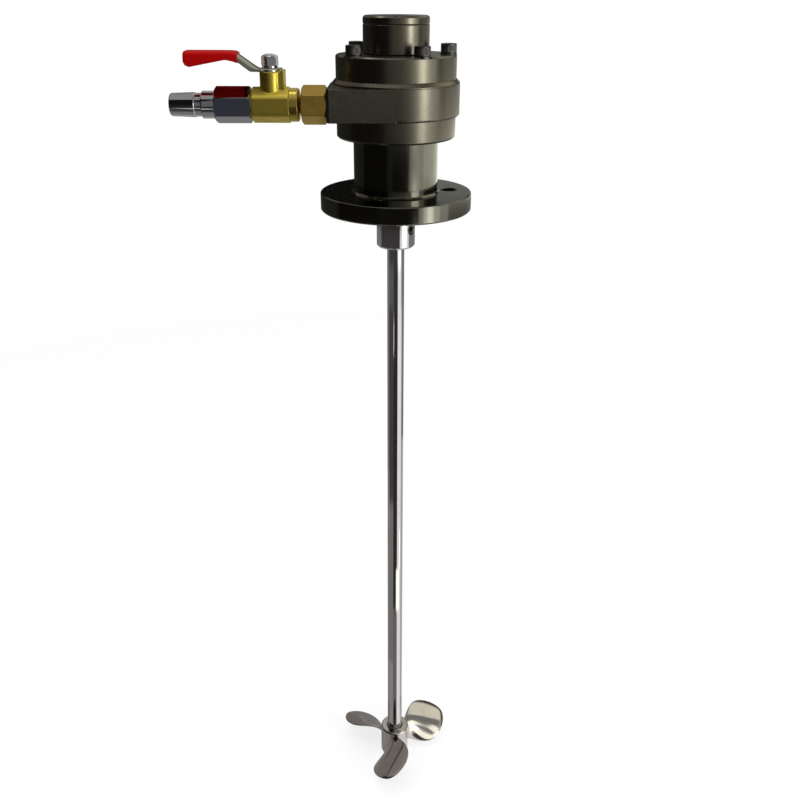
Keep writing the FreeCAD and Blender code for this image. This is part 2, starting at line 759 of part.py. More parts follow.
ROTOR_BOTTOM = f"({BLOCK_BOTTOM} + sizes.rotor_end_gap)"
ROTOR_TOP = f"({BLOCK_TOP} - sizes.rotor_end_gap)"
SHAFT_RADIUS = half("shaft_diameter")
rotor = turned("rotor", [
    ("0", "sizes.motor_shaft_reach"),
    ("sizes.shaft_diameter / 2 - sizes.shaft_chamfer", "sizes.motor_shaft_reach"),
    (SHAFT_RADIUS, "sizes.motor_shaft_reach + sizes.shaft_chamfer"),
    (SHAFT_RADIUS, ROTOR_BOTTOM),
    (half("rotor_diameter"), ROTOR_BOTTOM),
    (half("rotor_diameter"), ROTOR_TOP),
    (SHAFT_RADIUS, ROTOR_TOP),
    (SHAFT_RADIUS, PLATE_TOP),
    (SHAFT_GROOVE, PLATE_TOP),
    (SHAFT_GROOVE, f"{PLATE_TOP} + sizes.circlip_thickness"),
    (SHAFT_RADIUS, f"{PLATE_TOP} + sizes.circlip_thickness"),
    (SHAFT_RADIUS, f"{PLATE_TOP} + sizes.motor_shaft_top - sizes.shaft_chamfer"),
    ("sizes.shaft_diameter / 2 - sizes.shaft_chamfer", f"{PLATE_TOP} + sizes.motor_shaft_top"),
    ("0", f"{PLATE_TOP} + sizes.motor_shaft_top"),
])
SLOT_HALF = "(sizes.vane_thickness / 2 + sizes.vane_side_gap)"
VANE_INNER = "(sizes.rotor_diameter / 2 - sizes.vane_depth - 2 * sizes.vane_side_gap)"
slot = box_outline(new_sketch(rotor, "XY_Plane", ROTOR_TOP),
                   f"{VANE_INNER} - sizes.vane_side_gap", half("rotor_diameter") + " + 1",
                   f"-{SLOT_HALF}", SLOT_HALF)
around(rotor, pocket(rotor, slot, f"{ROTOR_TOP} - {ROTOR_BOTTOM}"), "sizes.vane_count")
node(rotor)

for index in range(int(SIZES["vane_count"])):
    vane = new_body(f"vane_{index + 1}")
    pad(vane, box_outline(new_sketch(vane, "XY_Plane", ROTOR_BOTTOM),
                          VANE_INNER, f"{VANE_INNER} + sizes.vane_depth",
                          "-sizes.vane_thickness / 2", "sizes.vane_thickness / 2"),
        f"{ROTOR_TOP} - {ROTOR_BOTTOM}")
    vane.Placement = FreeCAD.Placement(
        FreeCAD.Vector(0, 0, 0),
        FreeCAD.Rotation(FreeCAD.Vector(0, 0, 1), 360 / SIZES["vane_count"] * index))
    node(vane)


# Upper end plate: a rounded foot as wide as the block, and a pocket for the upper bearing

FOOT_TOP = f"({BLOCK_TOP} + sizes.foot_height)"
upper_end_plate = turned("upper_end_plate", [
    (half("shaft_hole"), BLOCK_TOP),
    (half("block_diameter"), BLOCK_TOP),
    (half("block_diameter"), f"{FOOT_TOP} - sizes.foot_rounding"),
    ("sizes.end_plate_diameter / 2 + 0.25 * (sizes.block_diameter - sizes.end_plate_diameter) / 2",
     FOOT_TOP),
    (half("end_plate_diameter"), FOOT_TOP),
    (half("end_plate_diameter"), f"{PLATE_TOP} - sizes.edge_chamfer"),
    ("sizes.end_plate_diameter / 2 - sizes.edge_chamfer", PLATE_TOP),
    (POCKET, PLATE_TOP),
    (POCKET, UPPER_BEARING),
    (half("relief_diameter"), UPPER_BEARING),
    (half("relief_diameter"), f"{UPPER_BEARING} - sizes.relief_depth"),
    (half("shaft_hole"), f"{UPPER_BEARING} - sizes.relief_depth"),
])
drill(upper_end_plate, PLATE_TOP, "sizes.upper_plate_thickness", half("cover_screw_hole"),
      "cover_screw_circle", COVER_TURNS)
drill(upper_end_plate, PLATE_TOP, "sizes.spotface_depth", half("spotface_diameter"),
      "cover_screw_circle", COVER_TURNS)
drill(upper_end_plate, f"{BLOCK_TOP} + (sizes.dowel_length - sizes.block_height) / 2",
      "(sizes.dowel_length - sizes.block_height) / 2", half("dowel_diameter"),
      "cover_screw_circle", DOWEL_TURNS)
CAP_TURNS = [f"sizes.cap_screw_angle + {120 * index}" for index in range(3)]
CAP_THREAD_DEPTH = "(sizes.cap_screw_length - sizes.cap_height - sizes.lid_thickness + 0.5)"
drill(upper_end_plate, PLATE_TOP, CAP_THREAD_DEPTH, "sizes.cap_screw / 2 + sizes.thread_gap",
      "cap_screw_circle", CAP_TURNS)
node(upper_end_plate)


# Bearing cap and its lid, held down by three long countersunk screws

bearing_cap = turned("bearing_cap", [
    (half("cap_bore"), PLATE_TOP),
    ("sizes.cap_diameter / 2 - sizes.cap_foot_chamfer", PLATE_TOP),
    (half("cap_diameter"), f"{PLATE_TOP} + sizes.cap_foot_chamfer"),
    (half("cap_diameter"), CAP_TOP),
    (half("cap_bore"), CAP_TOP),
])
drill(bearing_cap, CAP_TOP, "sizes.cap_height", half("cap_screw_hole"),
      "cap_screw_circle", CAP_TURNS)
node(bearing_cap)

cap_lid = turned("cap_lid", [
    ("0", f"{CAP_TOP} - sizes.lid_spigot"),
    ("sizes.cap_bore / 2 - sizes.fit_gap", f"{CAP_TOP} - sizes.lid_spigot"),
    ("sizes.cap_bore / 2 - sizes.fit_gap", CAP_TOP),
    (half("cap_diameter"), CAP_TOP),
    (half("cap_diameter"), f"{LID_TOP} - sizes.lid_chamfer"),
    ("sizes.cap_diameter / 2 - sizes.lid_chamfer", LID_TOP),
    ("0", LID_TOP),
])
drill(cap_lid, LID_TOP, "sizes.lid_thickness", half("cap_screw_hole"),
      "cap_screw_circle", CAP_TURNS)
for turn_text in CAP_TURNS:
    sink = circle(new_sketch(cap_lid, "XY_Plane", LID_TOP),
                  "sizes.cap_screw_head / 2 + sizes.fit_gap",
                  *on_circle("cap_screw_circle", turn_text))
    countersink = pocket(cap_lid, sink, "sizes.cap_screw_head_height")
    countersink.TaperAngle = -math.degrees(math.atan2(
        size_of("(sizes.cap_screw_head - sizes.cap_screw) / 2"),
        size_of("sizes.cap_screw_head_height")))
node(cap_lid)


def countersunk_screw(label, turn_text):
    x, y = on_circle("cap_screw_circle", turn_text)
    body = new_body(label)
    revolve(body, [
        ("0", "-sizes.cap_screw_length"),
        (half("cap_screw"), "-sizes.cap_screw_length"),
        (half("cap_screw"), "-sizes.cap_screw_head_height"),
        (half("cap_screw_head"), "0"),
        ("0", "0"),
    ])
    sketch = hexagon(new_sketch(body, "XY_Plane"), "sizes.cap_screw_socket")
    pocket(body, sketch, "sizes.cap_screw_head_height * 0.7")
    return place(body, x, y, LID_TOP)


node(group("cap_screws", [countersunk_screw(f"cap_screw_{index + 1}", turn_text)
                          for index, turn_text in enumerate(CAP_TURNS)]))


# Screws through the whole motor, each on a split spring washer

def spring_washer(label, turn_text):
    x, y = on_circle("cover_screw_circle", turn_text)
    inner = "sizes.cover_screw_hole / 2"
    body = turned(label, [(inner, "0"), (half("washer_outside"), "0"),
                          (half("washer_outside"), "sizes.washer_thickness"),
                          (inner, "sizes.washer_thickness")])
    slit = box_outline(new_sketch(body, "XY_Plane", "sizes.washer_thickness"),
                       "-sizes.washer_slit / 2", "sizes.washer_slit / 2",
                       f"-sizes.washer_outside / 2 - 1", "0")
    pocket(body, slit, "sizes.washer_thickness")
    return place(body, x, y, SCREW_SEAT)


node(group("cover_screws", [
    socket_screw(f"cover_screw_{index + 1}", "cover_screw", turn_text, "cover_screw_circle",
                 f"{SCREW_SEAT} + sizes.washer_thickness")
    for index, turn_text in enumerate(COVER_TURNS)]))
node(group("spring_washers", [spring_washer(f"spring_washer_{index + 1}", turn_text)
                              for index, turn_text in enumerate(COVER_TURNS)]))


# Coupling sleeve: joins the motor shaft to the stirring shaft with two set screws

SLEEVE_BORE = "(sizes.shaft_diameter / 2 + sizes.fit_gap)"
coupling_sleeve = turned("coupling_sleeve", [
    (SLEEVE_BORE, "-sizes.sleeve_bottom"),
    ("sizes.sleeve_diameter / 2 - sizes.sleeve_chamfer", "-sizes.sleeve_bottom"),
    (half("sleeve_diameter"), "-sizes.sleeve_bottom + sizes.sleeve_chamfer"),
    (half("sleeve_diameter"), "sizes.sleeve_top - sizes.sleeve_chamfer"),
    ("sizes.sleeve_diameter / 2 - sizes.sleeve_chamfer", "sizes.sleeve_top"),
    (SLEEVE_BORE, "sizes.sleeve_top"),
])


def radial_hole(body, radius, turn_text, level, reach):
    """A hole along a radius: a cylinder that starts on the axis."""
    tool = doc.addObject("PartDesign::SubtractiveCylinder", f"{body.Label}_hole")
    body.addObject(tool)
    tool.setExpression("Radius", radius)
    tool.setExpression("Height", reach)
    tool.Placement = FreeCAD.Placement(
        FreeCAD.Vector(0, 0, size_of(level)),
        FreeCAD.Rotation(FreeCAD.Vector(0, 0, 1), size_of(turn_text))
        * FreeCAD.Rotation(FreeCAD.Vector(0, 1, 0), 90))
    return tool


SCREW_LEVELS = ["sizes.lower_set_screw_level", "sizes.upper_set_screw_level"]
for level in SCREW_LEVELS:
    radial_hole(coupling_sleeve, "sizes.set_screw / 2 + sizes.thread_gap",
                "sizes.set_screw_angle", level, "sizes.sleeve_diameter")
node(coupling_sleeve)
node(group("sleeve_set_screws", [
    set_screw(f"sleeve_set_screw_{index + 1}", "set_screw", "sizes.set_screw_angle", level,
              SLEEVE_BORE)
    for index, level in enumerate(SCREW_LEVELS)]))

SHAFT_BOTTOM = "(sizes.hub_top + sizes.hub_height - sizes.shaft_recess)"
node(turned("stirring_shaft", [
    ("0", f"-{SHAFT_BOTTOM}"),
    ("sizes.shaft_diameter / 2 - sizes.shaft_chamfer", f"-{SHAFT_BOTTOM}"),
    (SHAFT_RADIUS, f"-{SHAFT_BOTTOM} + sizes.shaft_chamfer"),
    (SHAFT_RADIUS, "sizes.shaft_top - sizes.shaft_chamfer"),
    ("sizes.shaft_diameter / 2 - sizes.shaft_chamfer", "sizes.shaft_top"),
    ("0", "sizes.shaft_top"),
]))


# Propeller: a bored hub and three broad blades of the same helical pitch, made in one. Each blade
# is set by hand, so it has its own place round the hub, its own height and its own small twist.

hub = turned("propeller_hub", [
    (SLEEVE_BORE, "-sizes.hub_top - sizes.hub_height"),
    ("sizes.hub_diameter / 2 - sizes.hub_chamfer", "-sizes.hub_top - sizes.hub_height"),
    (half("hub_diameter"), "-sizes.hub_top - sizes.hub_height + sizes.hub_chamfer"),
    (half("hub_diameter"), "-sizes.hub_top - sizes.hub_bore_chamfer"),
    ("sizes.hub_diameter / 2 - sizes.hub_bore_chamfer", "-sizes.hub_top"),
    (f"{SLEEVE_BORE} + sizes.hub_bore_chamfer", "-sizes.hub_top"),
    (SLEEVE_BORE, "-sizes.hub_top - sizes.hub_bore_chamfer"),
])
HUB_SCREW_TURN = "(sizes.right_blade_angle + sizes.left_blade_angle) / 2"
HUB_SCREW_LEVEL = "-sizes.hub_top - sizes.hub_screw_level"
radial_hole(hub, "sizes.hub_screw / 2 + sizes.thread_gap", HUB_SCREW_TURN, HUB_SCREW_LEVEL,
            "sizes.hub_diameter")


def blade_section(radius, twist, drop, samples=7):
    """One blade section in the plane across the blade at a radius: two bowed faces, two blunt edges.

    The chord grows from the root to its widest place and closes in a rounded tip. The helix angle
    follows from the pitch and the twist, and the mean line is bowed by the camber.
    """
    tip = size_of("sizes.blade_tip")
    root = size_of("sizes.hub_diameter / 2")
    widest = size_of("sizes.blade_widest") * tip
    if radius < widest:
        rise = max(0.0, (radius - root) / (widest - root))
        chord = size_of("sizes.blade_root_chord") + math.sin(rise * math.pi / 2) * size_of(
            "sizes.blade_chord - sizes.blade_root_chord")
    else:
        fall = (radius - widest) / (tip - widest)
        fullness = size_of("sizes.blade_fullness")
        chord = size_of("sizes.blade_chord") * max(0.0, 1 - fall ** fullness) ** (1 / fullness)
    along = (radius - root) / (tip - root)
    edge = size_of("sizes.blade_edge_thickness")
    thickness = size_of("sizes.blade_root_thickness") + along * size_of(
        "sizes.blade_tip_thickness - sizes.blade_root_thickness")
    helix = math.atan2(size_of("sizes.blade_pitch"), 2 * math.pi * radius) + math.radians(twist)
    faces = []
    for side in (1, -1):
        points = []
        for index in range(samples):
            across = side * (2 * index / (samples - 1) - 1)
            bulge = 1 - across ** 2
            normal = size_of("sizes.blade_camber") * chord * bulge
            normal += side * (edge + (thickness - edge) * bulge) / 2
            across = across * chord / 2 + size_of("sizes.blade_sweep") * along
            points.append(FreeCAD.Vector(
                radius,
                across * math.cos(helix) - normal * math.sin(helix),
                across * math.sin(helix) + normal * math.cos(helix)
                - size_of("sizes.hub_top") - drop))
        curve = Part.BSplineCurve()
        curve.interpolate(points)
        faces.append(curve)
    upper, lower = faces
    return Part.Wire([
        upper.toShape(),
        Part.LineSegment(upper.EndPoint, lower.StartPoint).toShape(),
        lower.toShape(),
        Part.LineSegment(lower.EndPoint, upper.StartPoint).toShape(),
    ])


def blade(name):
    tip = size_of("sizes.blade_tip")
    root = size_of("(sizes.shaft_diameter + sizes.hub_diameter) / 4")
    twist = size_of(f"sizes.{name}_blade_twist_angle")
    drop = size_of(f"sizes.{name}_blade_drop")
    shares = (0, 0.15, 0.35, 0.55, 0.72, 0.85, 0.94, 0.985, 0.998)
    wires = [blade_section(root + share * (tip - root), twist, drop) for share in shares]
    feature = doc.addObject("Part::Feature", f"{name}_propeller_blade")
    feature.Shape = Part.makeLoft(wires, True, False)
    feature.Placement = FreeCAD.Placement(
        FreeCAD.Vector(0, 0, 0),
        FreeCAD.Rotation(FreeCAD.Vector(0, 0, 1), size_of(f"sizes.{name}_blade_angle")))
    return feature


blades = [blade(name) for name in ("right", "left", "front")]
node(fuse("propeller", [hub] + blades))
node(set_screw("propeller_set_screw", "hub_screw", HUB_SCREW_TURN, HUB_SCREW_LEVEL,
               SLEEVE_BORE))


# Air inlet line. Its pieces are made round Z and then laid along -X.

def hex_corners(body, flats, start, end):
    """Turn off the corners at both ends of a hexagon."""
    corner = f"({flats} / 2 / cos(30 deg) + 0.5)"
    inner = f"({flats} / 2 - 0.1)"
    for face, step in ((start, "sizes.hex_chamfer"), (end, "-sizes.hex_chamfer")):
        revolve(body, [(inner, face), (corner, face), (corner, f"{face} + {step}")],
                kind="PartDesign::Groove")


node(lay_along_inlet(turned("inlet_seal_washer", [
    ("sizes.inlet_thread / 2 + sizes.thread_gap", PAD_REACH),
    (half("seal_washer_outside"), PAD_REACH),
    (half("seal_washer_outside"), HEX_START),
    ("sizes.inlet_thread / 2 + sizes.thread_gap", HEX_START),
])))

inlet_adaptor = turned("inlet_adaptor", [
    (half("adaptor_bore"), f"{HEX_START} - sizes.inlet_engagement"),
    (half("inlet_thread"), f"{HEX_START} - sizes.inlet_engagement"),
    (half("inlet_thread"), f"{HEX_END} + sizes.outlet_engagement"),
    (half("adaptor_bore"), f"{HEX_END} + sizes.outlet_engagement"),
])
adaptor_hex = hexagon(new_sketch(inlet_adaptor, "XY_Plane", HEX_START), "sizes.adaptor_flats",
                      "sizes.adaptor_angle")
circle(adaptor_hex, half("adaptor_bore"))
pad(inlet_adaptor, adaptor_hex, "sizes.adaptor_length")
hex_corners(inlet_adaptor, "sizes.adaptor_flats", HEX_START, HEX_END)
node(lay_along_inlet(inlet_adaptor))

# Retainer: screws into the valve body and holds the ball between its seats
RETAINER_THREAD_END = f"({HEX_END} + sizes.outlet_engagement + 0.5)"
node(lay_along_inlet(turned("valve_end_retainer", [
    ("sizes.inlet_thread / 2 + sizes.thread_gap", RETAINER_START),
    ("sizes.retainer_diameter / 2 - sizes.edge_chamfer", RETAINER_START),
    (half("retainer_diameter"), f"{RETAINER_START} + sizes.edge_chamfer"),
    (half("retainer_diameter"), BODY_START),
    (half("retainer_spigot"), BODY_START),
    (half("retainer_spigot"), SEAT_START),
    (half("flow_bore"), SEAT_START),
    (half("flow_bore"), RETAINER_THREAD_END),
    ("sizes.inlet_thread / 2 + sizes.thread_gap", RETAINER_THREAD_END),
])))

# Valve body: a rounded hexagon with a stem boss and a stop lug for the lever
valve_body = new_body("valve_body")
pad(valve_body, hexagon(new_sketch(valve_body, "XY_Plane", BODY_START), "sizes.body_flats"),
    "sizes.body_length")
BODY_ROUND = "(sizes.body_flats / 2 / cos(30 deg) - 0.45)"
BODY_OUTSIDE = "(sizes.body_flats / 2 + 4)"
revolve(valve_body, [(BODY_ROUND, BODY_START), (BODY_OUTSIDE, BODY_START),
                     (BODY_OUTSIDE, BODY_END), (BODY_ROUND, BODY_END)],
        kind="PartDesign::Groove")
BODY_END_RIM = "(sizes.body_flats / 2 - 0.1)"
revolve(valve_body, [(BODY_END_RIM, BODY_END), (BODY_OUTSIDE, BODY_END),
                     (BODY_OUTSIDE, f"{BODY_END} - sizes.hex_chamfer")],
        kind="PartDesign::Groove")
pad(valve_body, circle(new_sketch(valve_body, "YZ_Plane"), half("boss_diameter"),
                       "0", STEM_PLACE), "sizes.boss_top")
pad(valve_body, box_outline(new_sketch(valve_body, "YZ_Plane"),
                            "-sizes.lug_width / 2", "sizes.lug_width / 2",
                            f"{STEM_PLACE} - sizes.lug_reach",
                            f"{STEM_PLACE} - sizes.boss_diameter / 2 - 0.1"),
    "sizes.boss_top + sizes.lug_rise")
pad(valve_body, box_outline(new_sketch(valve_body, "YZ_Plane"),
                            "-sizes.lug_width / 2", "sizes.lug_width / 2",
                            f"{STEM_PLACE} - sizes.boss_diameter / 2 - 0.1",
                            STEM_PLACE),
    "sizes.boss_top - 0.01")
# Flow way: thread and seats from the retainer's side, thread for the plug from the other
for radius, start, end in (
        ("sizes.retainer_spigot / 2 + sizes.thread_gap", BODY_START, SEAT_START),
        (half("seat_outside"), SEAT_START, SEAT_END),
        (half("flow_bore"), SEAT_END, BODY_END)):
    pocket(valve_body, circle(new_sketch(valve_body, "XY_Plane", end), radius),
           f"{end} - {start}")
pocket(valve_body, circle(new_sketch(valve_body, "XY_Plane", BODY_END),
                          "sizes.plug_thread / 2 + sizes.thread_gap"),
       "sizes.plug_thread_length + 0.3")
# Stem way, from the top of the boss down
COLLAR_TOP = "(sizes.stem_collar_level + sizes.stem_collar_height + sizes.fit_gap)"
PACKING_BOTTOM = "(sizes.boss_top - sizes.packing_height)"
for radius, top, bottom in (
        (half("packing_diameter"), "sizes.boss_top", PACKING_BOTTOM),
        ("sizes.stem_diameter / 2 + sizes.fit_gap", PACKING_BOTTOM, COLLAR_TOP),
        ("sizes.stem_collar / 2 + sizes.fit_gap", COLLAR_TOP, "0")):
    pocket(valve_body, circle(new_sketch(valve_body, "YZ_Plane", top), radius,
                              "0", STEM_PLACE), f"{top} - {bottom}")
node(lay_along_inlet(valve_body))


# Ball, seats, packing and stem of the valve

def ball_seat(label, near, far):
    """A ring with a conical face that stands just clear of the ball."""
    return turned(label, [
        ("sizes.flow_bore / 2 + 1.15", near),
        (half("seat_outside"), near),
        (half("seat_outside"), far),
        (half("flow_bore"), far),
        (half("flow_bore"), f"{near} + 0.45 * ({far} - {near})"),
    ])


def seat(label, side):
    near = f"({STEM_PLACE} {side} sizes.seat_face)"
    far = f"({STEM_PLACE} {side} sizes.seat_depth)"
    return cut(label, lay_along_inlet(ball_seat(f"{label}_ring", near, far)), ball_space)


ball_space = doc.addObject("Part::Sphere", "ball_space")
ball_space.setExpression("Radius", "sizes.ball_size / 2 + sizes.fit_gap")
place(ball_space, f"-{STEM_PLACE}", "-sizes.port_offset", PORT_LEVEL)
node(group("ball_seats", [seat("outlet_seat", "-"), seat("inlet_seat", "+")]))

valve_ball = turned("valve_ball", [
    (half("flow_bore"), "-sizes.ball_size"),
    ("sizes.ball_size", "-sizes.ball_size"),
    ("sizes.ball_size", "sizes.ball_size"),
    (half("flow_bore"), "sizes.ball_size"),
])
valve_ball.Label = "valve_ball_blank"
ball_round = doc.addObject("Part::Sphere", "ball_round")
ball_round.setExpression("Radius", half("ball_size"))
SLOT_LEVEL = "(sizes.stem_collar_level - sizes.stem_tang_reach - sizes.fit_gap)"
ball_slot = doc.addObject("Part::Box", "ball_slot")
ball_slot.setExpression("Length", "sizes.ball_size")
ball_slot.setExpression("Width", "sizes.ball_size")
ball_slot.setExpression("Height", "sizes.stem_tang_thickness + 2 * sizes.fit_gap")
place(ball_slot, SLOT_LEVEL, "-sizes.ball_size / 2",
      "-sizes.stem_tang_thickness / 2 - sizes.fit_gap")
ball_common = doc.addObject("Part::MultiCommon", "ball_common")
ball_common.Shapes = [ball_round, valve_ball]
finished_ball = cut("valve_ball", ball_common, ball_slot)
finished_ball.Placement = FreeCAD.Placement(
    FreeCAD.Vector(0, 0, 0), FreeCAD.Rotation(FreeCAD.Vector(0, 1, 0), -90))
place(finished_ball, f"-{STEM_PLACE}", "-sizes.port_offset", PORT_LEVEL)
node(finished_ball)

STEM_TOP = f"({NUT_LEVEL} + sizes.nut_bore_depth - 0.4 - {PORT_LEVEL})"
PLATE_LEVEL = f"({LEVER_LEVEL} - {PORT_LEVEL})"
valve_stem = turned("valve_stem", [
    ("0", "sizes.stem_collar_level"),
    (half("stem_collar"), "sizes.stem_collar_level"),
    (half("stem_collar"), "sizes.stem_collar_level + sizes.stem_collar_height"),
    (half("stem_diameter"), "sizes.stem_collar_level + sizes.stem_collar_height"),
    (half("stem_diameter"), STEM_TOP),
    ("0", STEM_TOP),
])
pad(valve_stem, box_outline(new_sketch(valve_stem, "XY_Plane",
                                       "sizes.stem_collar_level - sizes.stem_tang_reach"),
                            "-sizes.stem_tang_thickness / 2", "sizes.stem_tang_thickness / 2",
                            "-sizes.stem_tang_width / 2", "sizes.stem_tang_width / 2"),
    "sizes.stem_tang_reach + 0.2")
flats = new_sketch(valve_stem, "XY_Plane", f"{PLATE_LEVEL} + sizes.lever_thickness")
for side in ("-", ""):
    near = f"{side}sizes.stem_flats / 2"
    far = f"{side}sizes.stem_diameter"
    box_outline(flats, near, far, "-sizes.stem_diameter", "sizes.stem_diameter")
pocket(valve_stem, flats, "sizes.lever_thickness")
node(place(valve_stem, f"-{STEM_PLACE}", "-sizes.port_offset", PORT_LEVEL))

stem_packing = turned("stem_packing", [
    ("sizes.stem_diameter / 2 + sizes.fit_gap", PACKING_BOTTOM),
    (half("packing_diameter"), PACKING_BOTTOM),
    (half("packing_diameter"), "sizes.boss_top"),
    ("sizes.stem_diameter / 2 + sizes.fit_gap", "sizes.boss_top"),
])
node(place(stem_packing, f"-{STEM_PLACE}", "-sizes.port_offset", PORT_LEVEL))


# Lever: pressed from steel sheet, an eye with two stop ears and a cranked channel arm.
# Its sketches measure outwards from the stem, along -X, and up from the eye's underside.

lever = new_body("lever")
WEB_TOP = "(sizes.lever_rise + sizes.lever_thickness)"
pad(lever, polygon(new_sketch(lever, "XZ_Plane"), [
    ("0", "0"),
    ("-sizes.flange_near", "0"),
    ("-sizes.flange_far", "sizes.flange_far_level"),
    ("-sizes.flange_crest", "sizes.flange_crest_level"),
    ("-sizes.lever_reach", "sizes.flange_tip_level"),
    ("-sizes.lever_reach", WEB_TOP),
    ("-sizes.lever_bend_far", WEB_TOP),
    ("-sizes.lever_bend_near", "sizes.lever_thickness"),
    ("0", "sizes.lever_thickness"),
]), "sizes.lever_width", both_ways=True)
# The channel between the side flanges, open below
WEB_BOTTOM = "sizes.lever_rise"
channel = polygon(new_sketch(lever, "XZ_Plane"), [
    ("-sizes.lever_bend_near - 0.33 * sizes.lever_thickness", "0"),
    ("-sizes.lever_bend_far - 0.33 * sizes.lever_thickness", WEB_BOTTOM),
    ("-sizes.lever_reach - 1", WEB_BOTTOM),
    ("-sizes.lever_reach - 1", "-1"),
    ("-sizes.lever_bend_near - 0.33 * sizes.lever_thickness", "-1"),
])
hollow = pocket(lever, channel, "sizes.lever_width - 2 * sizes.lever_thickness")
hollow.SideType = "Symmetric"
# The eye is round; its ears stop against the lug when the valve is open and when it is shut
eye = circle(new_sketch(lever, "XY_Plane"), half("lever_eye"))
pad(lever, eye, "sizes.lever_thickness")
EAR_NEAR = "(sizes.lug_width / 2 + sizes.stop_gap)"
ear_open = box_outline(new_sketch(lever, "XY_Plane"), "0", "sizes.lever_ear_reach",
                       EAR_NEAR, f"{EAR_NEAR} + 2.4")
pad(lever, ear_open, "sizes.lever_thickness")
ear_shut = box_outline(new_sketch(lever, "XY_Plane"), f"-{EAR_NEAR} - 2.4", f"-{EAR_NEAR}",
                       "-sizes.lever_ear_reach", "0")
pad(lever, ear_shut, "sizes.lever_thickness")
stem_hole = new_sketch(lever, "XY_Plane", "sizes.lever_thickness")
FLAT_HALF = "(sizes.stem_flats / 2 + sizes.fit_gap)"
ROUND_HALF = "(sizes.stem_diameter / 2 + sizes.fit_gap)"
box_outline(stem_hole, f"-{FLAT_HALF}", FLAT_HALF, f"-{ROUND_HALF}", ROUND_HALF)
pocket(lever, stem_hole, "sizes.lever_thickness")
node(place(lever, f"-{STEM_PLACE}", "-sizes.port_offset", LEVER_LEVEL))

# Grip: a thick soft dip over the outer arm, hollow below as the arm is
grip_dip = new_body("grip_dip")
GRIP_TOP = f"({WEB_TOP} + sizes.grip_wall)"
GRIP_TIP = "(sizes.lever_reach + sizes.grip_wall)"
# The coat runs thin at the heel, where it ends on the sloping arm
GRIP_HEEL = ("(sizes.flange_far_level * (sizes.grip_start - sizes.flange_near)"
             " / (sizes.flange_far - sizes.flange_near) - 0.5 * sizes.grip_wall)")
pad(grip_dip, polygon(new_sketch(grip_dip, "XZ_Plane"), [
    ("-sizes.grip_start", GRIP_HEEL),
    ("-sizes.flange_far", "sizes.flange_far_level - sizes.grip_wall"),
    ("-sizes.flange_crest", "sizes.flange_crest_level - sizes.grip_wall"),
    (f"-{GRIP_TIP} + 2.4", "sizes.flange_tip_level - sizes.grip_wall"),
    (f"-{GRIP_TIP}", "sizes.flange_tip_level + 1.8"),
    (f"-{GRIP_TIP}", f"{GRIP_TOP} - 1.6"),
    (f"-{GRIP_TIP} + 1.6", GRIP_TOP),
    ("-sizes.lever_bend_far - 0.4", GRIP_TOP),
    ("-sizes.grip_start", f"{GRIP_TOP} - 1"),
]), "sizes.lever_width + 2 * sizes.grip_wall", both_ways=True)
doc.recompute()
# The long edges on both sides, left and right, are rounded; the edges across the grip stay
SIDE = size_of("sizes.lever_width / 2 + sizes.grip_wall")
side_edges = [
    f"Edge{index}" for index, edge in enumerate(grip_dip.Tip.Shape.Edges, start=1)
    if all(abs(abs(vertex.Y) - SIDE) < 0.001 for vertex in edge.Vertexes)
    and abs(edge.Vertexes[0].Y - edge.Vertexes[-1].Y) < 0.001
    and max(vertex.X for vertex in edge.Vertexes) < size_of("-sizes.grip_start") - 0.1
]
rounded = grip_dip.Tip
rounding = grip_dip.newObject("PartDesign::Fillet", "side_rounding")
rounding.Base = (rounded, side_edges)
rounding.setExpression("Radius", "sizes.grip_rounding")
hollow = pocket(grip_dip, polygon(new_sketch(grip_dip, "XZ_Plane"), [
    ("-sizes.grip_start + 1", "0"),
    ("-sizes.grip_start + 1", f"{WEB_BOTTOM} - sizes.grip_wall"),
    ("-sizes.lever_reach + 2", f"{WEB_BOTTOM} - sizes.grip_wall"),
    ("-sizes.lever_reach + 2", "0"),
]), "sizes.lever_width - 2 * sizes.lever_thickness - 2 * sizes.grip_wall")
hollow.SideType = "Symmetric"
place(grip_dip, f"-{STEM_PLACE}", "-sizes.port_offset", LEVER_LEVEL)
node(cut("lever_grip", grip_dip, lever))

lever_washer = turned("lever_washer", [
    ("sizes.stem_diameter / 2 + sizes.fit_gap", "0"),
    (half("lever_washer_outside"), "0"),
    (half("lever_washer_outside"), "sizes.lever_washer_thickness"),
    ("sizes.stem_diameter / 2 + sizes.fit_gap", "sizes.lever_washer_thickness"),
])
node(place(lever_washer, f"-{STEM_PLACE}", "-sizes.port_offset",
           f"{LEVER_LEVEL} + sizes.lever_thickness"))

# Domed nut: a hexagon that runs up into a low dome
nut_hexagon = new_body("nut_hexagon")
pad(nut_hexagon, hexagon(new_sketch(nut_hexagon, "XY_Plane"), "sizes.nut_flats", "20"),
    "sizes.nut_height + sizes.dome_height")
pocket(nut_hexagon, circle(new_sketch(nut_hexagon, "XY_Plane", "sizes.nut_bore_depth"),
                           "sizes.stem_diameter / 2 + sizes.thread_gap"),
       "sizes.nut_bore_depth")
NUT_CORNER = "(sizes.nut_flats / 2 / cos(30 deg))"
nut_dome = turned("nut_dome", [
    ("0", "0"),
    (NUT_CORNER, "0"),
    (NUT_CORNER, "sizes.nut_height - 0.3"),
    (f"{NUT_CORNER} * 0.86", "sizes.nut_height + 0.5"),
    (f"{NUT_CORNER} * 0.62", "sizes.nut_height + sizes.dome_height * 0.7"),
    (f"{NUT_CORNER} * 0.3", "sizes.nut_height + sizes.dome_height * 0.97"),
    ("0", "sizes.nut_height + sizes.dome_height"),
])
dome_nut = doc.addObject("Part::MultiCommon", "dome_nut")
dome_nut.Label = "dome_nut"
dome_nut.Shapes = [nut_hexagon, nut_dome]
node(place(dome_nut, f"-{STEM_PLACE}", "-sizes.port_offset", NUT_LEVEL))


